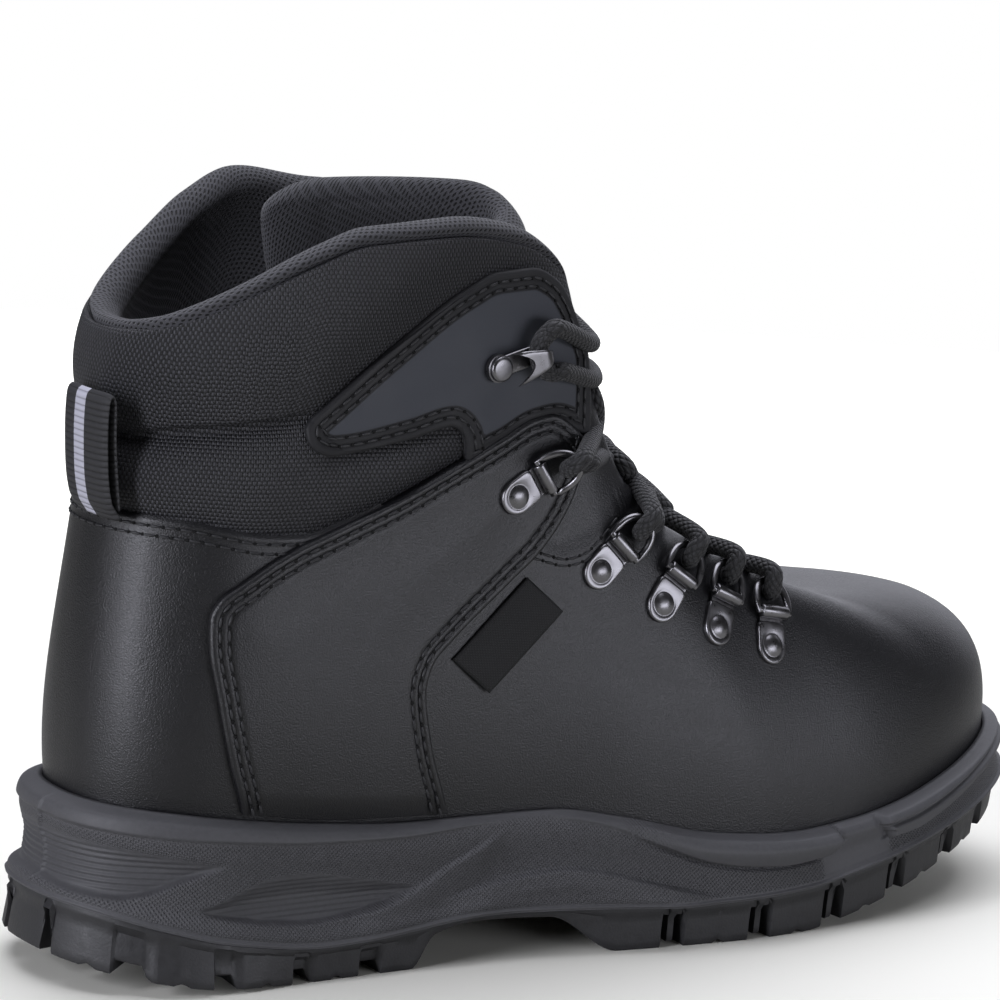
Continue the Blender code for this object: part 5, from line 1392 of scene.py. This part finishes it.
sewing = bpy.data.node_groups.new("sewing", "GeometryNodeTree")
for label, way, kind in (
    ("Rows", "INPUT", "Geometry"),
    ("Stitches", "OUTPUT", "Geometry"),
    ("Half Pitch", "INPUT", "Float"),
    ("Stitch Size", "INPUT", "Vector"),
    ("Hole Size", "INPUT", "Vector"),
    ("Thread", "INPUT", "Material"),
    ("Hole", "INPUT", "Material"),
):
    sewing.interface.new_socket(label, in_out=way, socket_type=f"NodeSocket{kind}")
rows_in = sewing.nodes.new("NodeGroupInput").outputs
rows_out = sewing.nodes.new("NodeGroupOutput").inputs
thread_lines = node(sewing, "GeometryNodeMeshToCurve", {"Mesh": rows_in["Rows"]})["Curve"]
paced = {"Curve": thread_lines, "Length": rows_in["Half Pitch"]}
points = node(sewing, "GeometryNodeResampleCurve", paced, mode="LENGTH")["Curve"]
tangent = node(sewing, "GeometryNodeInputTangent", {})["Tangent"]
outwards = node(
    sewing, "GeometryNodeInputNamedAttribute", {"Name": "out"}, data_type="FLOAT_VECTOR"
)
along_row = node(sewing, "FunctionNodeAlignRotationToVector", {"Vector": tangent}, axis="X")
upright = node(
    sewing,
    "FunctionNodeAlignRotationToVector",
    {"Rotation": along_row["Rotation"], "Vector": outwards["Attribute"]},
    axis="Z",
    pivot_axis="X",
)
index = node(sewing, "GeometryNodeInputIndex", {})["Index"]
odd = number(sewing, "FLOORED_MODULO", index, 2.0)
bead = node(sewing, "GeometryNodeMeshUVSphere", {"Segments": 8, "Rings": 5, "Radius": 1.0})["Mesh"]
laid = []
# Even points get a thread bead; odd points get a near-black bead of painted shade in the needle
# holes.
for pick, word in ((number(sewing, "SUBTRACT", 1.0, odd), "Stitch"), (odd, "Hole")):
    spread_out = {
        "Points": points,
        "Selection": pick,
        "Instance": bead,
        "Rotation": upright["Rotation"],
        "Scale": rows_in[f"{word} Size"],
    }
    beads = node(sewing, "GeometryNodeInstanceOnPoints", spread_out)["Instances"]
    real = node(sewing, "GeometryNodeRealizeInstances", {"Geometry": beads})["Geometry"]
    dyed = {"Geometry": real, "Material": rows_in["Thread" if word == "Stitch" else "Hole"]}
    laid.append(node(sewing, "GeometryNodeSetMaterial", dyed)["Geometry"])
joined = sewing.nodes.new("GeometryNodeJoinGeometry")
for beads in reversed(laid):
    sewing.links.new(beads, joined.inputs[0])
smooth = node(sewing, "GeometryNodeSetShadeSmooth", {"Geometry": joined.outputs[0]})["Geometry"]
sewing.links.new(smooth, rows_out["Stitches"])
needle = stitching.modifiers.new("sewing", "NODES")
needle.node_group = sewing
settings = {
    "Half Pitch": STITCH_PITCH * 0.0005,
    "Stitch Size": (STITCH_LENGTH * 0.0005, THREAD * 0.0005, THREAD * 0.0005),
    "Hole Size": HOLE_SHADE_SIZE,
    "Thread": thread,
    "Hole": hole_shade,
}
for item in sewing.interface.items_tree:
    if item.in_out == "INPUT" and item.name in settings:
        needle[item.identifier] = settings[item.name]
evaluated = stitching.evaluated_get(bpy.context.evaluated_depsgraph_get())
sewn_mesh = bpy.data.meshes.new_from_object(evaluated)
stitching.modifiers.clear()
stitching.data = sewn_mesh
fit_to_boot(stitching, "black_leather")

# Lace rings and hooks. Gunmetal-plated steel. Each ring is a wire bow held in the rolled end of a
# small teardrop plate with a domed rivet; each hook is one sheet bent back over itself and
# riveted through the eyestay. Five pairs of rings and one pair of hooks.
Fastener = namedtuple("Fastener", "name x z aim under")
FASTENERS = (
    Fastener("ring_1", 185.6, 71.2, 79.0, 0.0),
    Fastener("ring_2", 169.2, 77.2, 64.0, 0.0),
    Fastener("ring_3", 153.0, 84.2, 52.0, 0.0),
    Fastener("ring_4", 135.4, 93.3, 42.0, 0.0),
    Fastener("ring_5", 110.9, 113.0, 31.0, 1.0),
    Fastener("hook", 104.0, 144.3, 13.5, 1.0),
)
RING_BAR, RING_BAR_HEIGHT, RING_HALF_WIDTH, RING_REACH, RING_WIRE = 8.3, 2.0, 4.9, 8.6, 0.9
HOOK_BEND, HOOK_HEIGHT, HOOK_ROUND, HOOK_FREE_END, HOOK_SHEET = 10.0, 3.4, 3.0, 0.8, 0.36
HOOK_WIDTH = spots(
    (0, 2.6), (0.25, 2.4), (0.4, 1.4), (0.5, 1.0), (0.6, 1.5), (0.7, 2.3), (0.8, 3.1), (0.9, 3.8),
    (1, 4.1),
)
PLATE_LIFT, PANEL_LIFT, PANEL_CLEAR, RING_CLEAR, CLEAR_TAPER = 0.1, 2.5, 2.15, 3.4, 0.018
PLATE_FRONT, PLATE_REAR, PLATE_HALF, PLATE_POWER, HOOK_DISC = 6.0, 4.7, 4.2, 9, 3.4

steel, tree, shader = finish("gunmetal_steel", (0.30, 0.295, 0.30), 0.16, metallic=1.0)
cloud = noise(tree, surface_mm(tree), 0.5, 3.0)
paint(tree, shader, cloud, (0.16, 0.157, 0.163), (0.25, 0.246, 0.255))
feed(tree, shader, "Roughness", spread(tree, cloud, 0.3, 0.7, 0.26, 0.36))


def fastener_frame(row, side):
    """Place of a fastener on the upper: its rivet, the way it points, across and out."""
    turn, rise = locate([row.x], [row.z], side)
    lift = np.array([PANEL_LIFT if row.under else PLATE_LIFT])
    origin, out = on_upper(turn, rise, lift)[0], upper_normal(turn, rise)[0]
    aim = np.array([math.cos(math.radians(row.aim)), 0.0, math.sin(math.radians(row.aim))])
    aim = unit(aim - out * (aim @ out))
    return origin, aim, np.cross(out, aim), out


def placed(points, place):
    origin, aim, across, out = place
    points = np.asarray(points, float)
    return origin + points[..., :1] * aim + points[..., 1:2] * across + points[..., 2:] * out


def ring_tilt(row, place, side):
    """Angle at which a ring, pulled towards the throat, still clears the upper under it."""
    origin, aim, across, out = place
    turn, rise = locate([row.x], [row.z], side)
    turns, rises = np.meshgrid(turn[0] + np.linspace(-0.08, 0.08, 33), np.linspace(rise[0], 1, 60))
    away = upper_point(turns, rises).reshape(-1, 3) - origin
    along, beside, height = away @ aim - RING_BAR, away @ across, away @ out
    under = (along > 2.0) & (along < RING_REACH + 1.0) & (np.abs(beside) < RING_HALF_WIDTH + 1.0)
    clear = RING_CLEAR - CLEAR_TAPER * (row.x - 110.0)
    needed = height[under] + clear + row.under * PANEL_CLEAR - RING_BAR_HEIGHT
    return float(np.max(np.arctan2(needed, along[under])))


def tube_grid(path, radius, sides, closed):
    """Rings of points round a path."""
    run = np.roll(path, -1, 0) - np.roll(path, 1, 0) if closed else np.gradient(path, axis=0)
    run = unit(run)
    first = np.cross(run[0], [0.3, 0.2, 0.9])
    grid = np.empty((len(path), sides, 3))
    angle = 2 * np.pi * np.arange(sides)[:, None] / sides
    for k, ahead in enumerate(run):
        first = unit(first - ahead * (first @ ahead))
        second = np.cross(ahead, first)
        grid[k] = path[k] + radius * (np.cos(angle) * first + np.sin(angle) * second)
    return grid


def capped(rings):
    """Points and faces of a body of loops, closed at both ends."""
    rows, count = len(rings), len(rings[0])
    ends = [list(range(count)), list(range((rows - 1) * count, rows * count))]
    return np.concatenate(rings), loop_faces(rows, count)[0].tolist() + ends


def turned(profile, shape, sides=48):
    """Body of rings round the rivet: share of the shape's radius, radius and height, middle out."""
    angle = np.linspace(0, 2 * np.pi, sides, endpoint=False)
    rings = []
    for share, radius, height in profile:
        reach = shape(angle) * share + radius
        flat = reach * np.cos(angle), reach * np.sin(angle)
        rings.append(np.column_stack([*flat, np.full(sides, height)]))
    return capped(rings)


def teardrop(angle):
    ahead, beside = np.cos(angle), np.abs(np.sin(angle))
    square = (np.maximum(ahead, 0) / PLATE_FRONT) ** PLATE_POWER
    front = (square + (beside / PLATE_HALF) ** PLATE_POWER) ** (-1 / PLATE_POWER)
    oval = (np.minimum(ahead, 0) / PLATE_REAR) ** 2 + (beside / PLATE_HALF) ** 2
    rear = np.maximum(oval, 1e-6) ** -0.5
    return np.where(ahead > 0, front, rear)


def disc(angle):
    return np.full_like(angle, HOOK_DISC)


def dome(radius, height, base, steps=9):
    """Profile of a domed rivet head, from its middle down to its edge."""
    angle = np.linspace(0.02, math.pi / 2, steps)
    return [(0.0, radius * math.sin(a), base + height * math.cos(a) ** 0.8) for a in angle]


PLATE_PROFILE = [
    (0.0, 0.05, 1.85),
    (0.0, 0.8, 1.8),
    (0.0, 1.5, 1.64),
    (0.0, 2.1, 1.4),
    (0.0, 2.55, 1.14),
    (0.0, 2.85, 0.95),
    (0.0, 3.05, 0.92),
    (0.06, 2.95, 1.0),
    (0.88, 0.0, 1.05),
    (0.95, 0.0, 0.99),
    (0.985, 0.0, 0.8),
    (1.0, 0.0, 0.45),
    (1.0, 0.0, -0.6),
]
HOOK_PROFILE = dome(2.7, 0.3, 2.1) + [
    (0.0, 2.95, 2.0),
    (0.0, 3.1, 1.75),
    (0.0, 3.1, 0.9),
    (1.0, 0.0, 0.8),
    (1.0, 0.0, -0.4),
]


def extruded(profile, half_width, slices):
    """Bent sheet: a closed outline along and up, carried across with softly narrowed ends."""
    profile = np.asarray(profile, float)
    middle = profile.mean(0)
    rings = []
    for place, size in slices:
        section = middle + (profile - middle) * size
        rings.append(np.insert(section, 1, place * half_width, axis=1))
    return capped(rings)


SOFT_ENDS = ((-1.0, 0.86), (-0.97, 0.95), (-0.9, 1.0), (0.9, 1.0), (0.97, 0.95), (1.0, 0.86))
barrel_angle = np.linspace(0, 2 * np.pi, 32, endpoint=False)
barrel_flat = np.column_stack([np.cos(barrel_angle), np.sin(barrel_angle)])
barrel = np.array([RING_BAR, RING_BAR_HEIGHT - 0.25]) + 1.65 * barrel_flat
bridge = [(5.2, 0.1), (8.4, 0.1), (8.4, 0.75), (6.6, 0.6), (5.2, 0.8)]


def leaf(columns=17):
    """Hook sheet: forward from the rivet, round the bend and back over as a crescent flap."""
    arc = np.radians(np.linspace(-90, 90, 22))
    low, high = HOOK_HEIGHT - HOOK_ROUND, HOOK_HEIGHT + HOOK_ROUND
    foot = [np.linspace(0.5, HOOK_BEND, 13)[:-1], np.full(12, low)]
    bend = [HOOK_BEND + HOOK_ROUND * np.cos(arc), HOOK_HEIGHT + HOOK_ROUND * np.sin(arc)]
    flap = [np.linspace(HOOK_BEND, HOOK_FREE_END, 14)[1:], np.linspace(high, high - 0.8, 14)[1:]]
    centre = np.concatenate([np.column_stack(part) for part in (foot, bend, flap)])
    share = np.linspace(0, 1, len(centre))
    half = line_z(HOOK_WIDTH, share)
    run = unit(np.gradient(centre, axis=0))
    over = np.column_stack([-run[:, 1], run[:, 0]])
    layers = np.empty((2, len(centre), columns, 3))
    for layer, thick in zip(layers, (HOOK_SHEET, -HOOK_SHEET)):
        for k, c in enumerate(np.linspace(-1, 1, columns)):
            pulled = share * (1 - 0.17 * (1 - c * c) * ease((share - 0.55) / 0.45))
            edge = thick * math.sqrt(max(0.0, 1 - abs(c) ** 8)) + 0.02 * np.sign(thick)
            for axis, column in ((0, 0), (2, 1)):
                at = np.interp(pulled, share, centre[:, column])
                layer[:, k, axis] = at - np.interp(pulled, share, over[:, column]) * edge
            layer[:, k, 1] = c * half
    return layers.reshape(-1, 3), closed_sheet(len(centre), columns).tolist()


def gather(parts):
    """Join lists of points and faces."""
    points, faces, start = [], [], 0
    for part_points, part_faces in parts:
        points.append(part_points)
        faces += [[corner + start for corner in face] for face in part_faces]
        start += len(part_points)
    return np.concatenate(points), faces


def face_out(made):
    """Turn the faces of each closed body in a mesh outwards."""
    work = bmesh.new()
    work.from_mesh(made.data)
    bmesh.ops.recalc_face_normals(work, faces=work.faces)
    work.to_mesh(made.data)
    work.free()
    made.data.shade_smooth()
    made.data.set_sharp_from_angle(angle=math.radians(50))


ring_plate = gather(
    [
        turned(PLATE_PROFILE, teardrop),
        extruded(barrel, 4.0, SOFT_ENDS),
        extruded(bridge, 3.6, SOFT_ENDS),
    ]
)
hook_body = gather([turned(HOOK_PROFILE, disc), leaf()])
bow_angle = np.linspace(-math.pi / 2, math.pi / 2, 41)
bow_reach, bow_across = RING_REACH * np.cos(bow_angle) ** 0.65, RING_HALF_WIDTH * np.sin(bow_angle)
BOW_SIDES = 12
places, tilts = {}, {}


def fit_steel(name, points, faces, stands_for):
    made = boot_mesh(name, points, faces, [steel])
    face_out(made)
    fit_to_boot(made, "gunmetal_steel", stands_for)


for side, word in SIDES:
    for row in FASTENERS:
        place = places[row.name, side] = fastener_frame(row, side)
        if row.name == "hook":
            points, faces = placed(hook_body[0], place), hook_body[1]
            fit_steel(f"hook_{word}", points, faces, f"lace_hook_{word}")
            continue
        plate_name, plate_node = f"{row.name}_base_{word}", f"{row.name}_{word}_plate"
        fit_steel(plate_name, placed(ring_plate[0], place), ring_plate[1], plate_node)
        tilt = tilts[row.name, side] = ring_tilt(row, place, side)
        ahead = RING_BAR + bow_reach * math.cos(tilt)
        height = RING_BAR_HEIGHT - 0.25 + bow_reach * math.sin(tilt)
        wire = placed(np.column_stack([ahead, bow_across, height]), place)
        grid = tube_grid(wire, RING_WIRE, BOW_SIDES, closed=True)
        faces = loop_faces(len(wire), BOW_SIDES, closed=True)[0].tolist()
        fit_steel(f"{row.name}_bow_{word}", grid, faces, f"{row.name}_{word}")

# Pull loop. Black ribbed webbing with a light reflective stripe, folded double at the back of the
# collar and sewn into its seam.
LOOP_PATH = spots(
    (12.6, 111.0), (10.2, 115.0), (9.0, 123.0), (8.7, 132.0), (9.0, 138.0), (9.8, 139.6),
    (10.7, 138.2), (10.9, 130.0), (12.4, 113.0),
)
LOOP_MIDDLE, LOOP_WIDTH, LOOP_SHEET, LOOP_BOW = -7.7, 19.8, 1.5, 0.8
STRIPE_MIDDLE, STRIPE_WIDTH = 10.9, 4.8
webbing, tree, shader = finish("loop_webbing", (0.008, 0.008, 0.009), 0.7)
across, upwards = cloth_coordinates(tree)
broad_warp = number(tree, "MULTIPLY_ADD", across, 1 / 40, 0.25)
ribs = number(tree, "MULTIPLY", upwards, 1 / 1.45)
woven = use_group(tree, weave, Warp=broad_warp, Weft=ribs)
from_stripe = number(tree, "ABSOLUTE", number(tree, "SUBTRACT", across, STRIPE_MIDDLE))
stripe = number(tree, "LESS_THAN", from_stripe, STRIPE_WIDTH / 2)
# Painted shade: each yarn colour is dark between the ribs and lighter on their crowns; the black of
# the webbing and the grey of the stripe are their own colours.
black_yarn_shaded = blend_colour(tree, woven["Height"], (0.003, 0.003, 0.003), (0.02, 0.02, 0.022))
grey_yarn_shaded = blend_colour(tree, woven["Height"], (0.2, 0.2, 0.23), (0.42, 0.42, 0.48))
paint(tree, shader, stripe, black_yarn_shaded, grey_yarn_shaded)
bump(tree, shader, woven["Height"], 0.0003, 0.9)
loop_steps, loop_columns = 110, 26
middle = along_spots(LOOP_PATH, np.linspace(0, 1, loop_steps))
run = unit(np.gradient(middle, axis=0))
cross = np.linspace(-1, 1, loop_columns)
layers = np.empty((2, loop_steps, loop_columns, 3))
for layer, share in zip(layers, (0.5, -0.5)):
    thick = share * LOOP_SHEET * np.sqrt(np.maximum(1 - np.abs(cross) ** 10, 0.02))
    bow_in = LOOP_BOW * (cross + LOOP_MIDDLE / 40.0) ** 2
    layer[..., 0] = middle[:, :1] - run[:, 1:] * thick + bow_in
    layer[..., 1] = LOOP_MIDDLE + cross * LOOP_WIDTH / 2
    layer[..., 2] = middle[:, 1:] + run[:, :1] * thick
faces = closed_sheet(loop_steps, loop_columns)
lengths = strip_lengths((cross + 1)[None] * LOOP_WIDTH / 2, run_length(middle)[:, None])
uv = np.concatenate([lengths, lengths])[faces]
loop = boot_mesh("loop_strap", layers, faces.tolist(), [webbing], cloth=uv)
face_out(loop)
fit_to_boot(loop, "loop_webbing", "pull_loop")

# Lace. One round braided polyester lace, taken from the lowest pair of rings crosswise up to the
# hooks. At every ring it comes from below, goes up through the bow and leaves over the wire.
LACE_RADIUS, LACE_SIDES, LACE_STEP = 2.25, 18, 0.8
BAR_LIFT, TOP_LIFT, UNDER_LIFT, OVER_LIFT, OVER_STEP, OVER_MOST = -0.4, 1.0, 0.2, 1.4, 1.2, 5.4
Run = namedtuple("Run", "enter leave lift beside")
PLAIN_RUN = Run((7.0,), (-7.0,), 1.3, 0.0)
OUTER_RUNS = {
    "ring_3": Run((8.0,), (-8.0,), 1.8, 0.4),
    "ring_4": Run((13.0, 5.0), (-2.0, -9.0), 4.0, 1.2),
    "ring_5": Run((19.0, 10.0), (1.0, -8.0), 0.5, 1.2),
    "hook": Run((16.0,), (7.0,), 1.2, 1.2),
}
RING_STEPS = (
    *((2.6, 2.4, -2.4), (-1.2, 1.8, -2.6), (-3.0, 0.6, -0.5)),
    *((-1.7, -0.9, 2.5), (1.9, -1.9, 2.5)),
)
HOOK_STEPS = (
    *((17.0, 5.6, 3.4), (13.6, 5.0, 3.3), (11.4, 3.6, 3.2), (10.2, 1.4, 3.2)),
    *((10.2, -1.4, 3.2), (11.4, -3.6, 3.3), (13.6, -5.0, 3.5), (17.0, -5.4, 3.8)),
)
braid, tree, shader = finish("lace_braid", (0.01, 0.01, 0.011), 0.65, sheen_weight=0.1)
around, lengthways = cloth_coordinates(tree)
turns_up = number(tree, "MULTIPLY", lengthways, 1 / 1.7)
turns_round = number(tree, "MULTIPLY", around, 8.0)
left, right = (number(tree, way, turns_up, turns_round) for way in ("ADD", "SUBTRACT"))
woven = use_group(tree, weave, Warp=left, Weft=right)
# Painted shade: the lace is dark between the braid's yarns and lighter on their crowns.
paint(tree, shader, woven["Height"], (0.0016, 0.0016, 0.0017), (0.017, 0.017, 0.0185))
bump(tree, shader, woven["Height"], 0.0004)


def lace_run(row, side):
    return OUTER_RUNS.get(row.name, PLAIN_RUN) if side == OUTER else PLAIN_RUN


def throat_point(row, side, gap):
    """Place over the edge of the throat beside a fastener, towards the toe or the ankle."""
    tilt = tilts.get((row.name, side), 0.0)
    tip = (RING_BAR + RING_REACH * math.cos(tilt), 0.0, RING_REACH * math.sin(tilt))
    turns = side * np.linspace(0.47, 0.95, 481)
    edge = top_edge(turns)
    away = np.linalg.norm(edge - placed([tip], places[row.name, side]), axis=1)
    length = run_length(edge)
    turn = np.interp([length[np.argmin(away)] + gap], length, turns)
    run = lace_run(row, side)
    out = unit(upper_normal(turn, np.ones(1))[0] + np.array([0.0, run.beside * side, 0.0]))
    return top_edge(turn)[0] + out * (LACE_RADIUS + run.lift)


def over_tongue(point, lift):
    """Place on the middle of the tongue nearest to a point."""
    along = np.linspace(0.05, 0.95, 181)
    none = np.zeros_like(along)
    face = tongue_face(along, none, none)
    out = unit(face - tongue_face(along, none, none + 1))
    nearest = int(np.argmin(np.linalg.norm(face[:, [0, 2]] - point[[0, 2]], axis=1)))
    return face[nearest] + out[nearest] * (LACE_RADIUS + lift)


def through(row, side):
    """Lace round one fastener, from its toe side under the wire to its ankle side over it."""
    run = lace_run(row, side)
    if row.name == "hook":
        inside = [(ahead, beside * side, above) for ahead, beside, above in HOOK_STEPS]
    else:
        inside, tilt = [], tilts[row.name, side]
        for ahead, beside, above in RING_STEPS:
            reach = RING_REACH + ahead
            along = RING_BAR + reach * math.cos(tilt) - above * math.sin(tilt)
            height = RING_BAR_HEIGHT + reach * math.sin(tilt) + above * math.cos(tilt)
            inside.append((along, beside * side, height))
    enter = [throat_point(row, side, gap) for gap in run.enter]
    leave = [throat_point(row, side, gap) for gap in run.leave]
    return [*enter, *placed(inside, places[row.name, side]), *leave]


def smooth_path(points, spacing):
    """Even points on a smooth curve through given ones, and their distance along it."""
    points = np.asarray(points, float)
    ends = 2 * points[:1] - points[1:2], 2 * points[-1:] - points[-2:-1]
    padded = np.concatenate([ends[0], points, ends[1]])
    fine = []
    u = np.linspace(0, 1, 24, endpoint=False)[:, None]
    for a, b, c, d in zip(padded[:-3], padded[1:-2], padded[2:-1], padded[3:]):
        bend = 2 * a - 5 * b + 4 * c - d + u * (3 * (b - c) + d - a)
        fine.append(b + 0.5 * u * (c - a + u * bend))
    fine = np.concatenate(fine + [points[-1:]])
    for _ in range(30):
        fine[1:-1] = fine[1:-1] * 0.5 + (fine[:-2] + fine[2:]) * 0.25
    length = run_length(fine)
    at = np.linspace(0, length[-1], int(length[-1] / spacing) + 1)
    return np.column_stack([np.interp(at, length, fine[:, k]) for k in range(3)]), at


lace_nodes = ["lace_bar_low", "lace_bar_top", *(f"lace_cross_{k}" for k in range(1, 6))]
for first_side, word in ((OUTER, "first"), (INNER, "second")):
    points = []
    for k, row in enumerate(FASTENERS):
        side = first_side * (-1.0) ** k
        visit = through(row, side)
        on_top = (first_side == OUTER) == (k % 2 == 0)
        if k == 0:
            other = throat_point(row, -side, PLAIN_RUN.enter[0])
            points.append(over_tongue((visit[0] + other) / 2, BAR_LIFT))
        else:
            lift = min(OVER_LIFT + OVER_STEP * k, OVER_MOST) if on_top else UNDER_LIFT
            points.append(over_tongue((points[-1] + visit[0]) / 2, lift))
        points += visit
    other = throat_point(row, -side, lace_run(row, -side).leave[-1])
    points.append(over_tongue((points[-1] + other) / 2, TOP_LIFT))
    path, at = smooth_path(points, LACE_STEP)
    grid, faces = capped(tube_grid(path, LACE_RADIUS, LACE_SIDES, closed=False))
    lengths = strip_lengths(np.linspace(0, 1, LACE_SIDES + 1)[None], at[:, None])
    uv = lengths[loop_faces(len(path), LACE_SIDES)[1]]
    lace = boot_mesh(f"lace_{word}_half", grid, faces, [braid], cloth=uv)
    fit_to_boot(lace, "lace_braid", *lace_nodes)
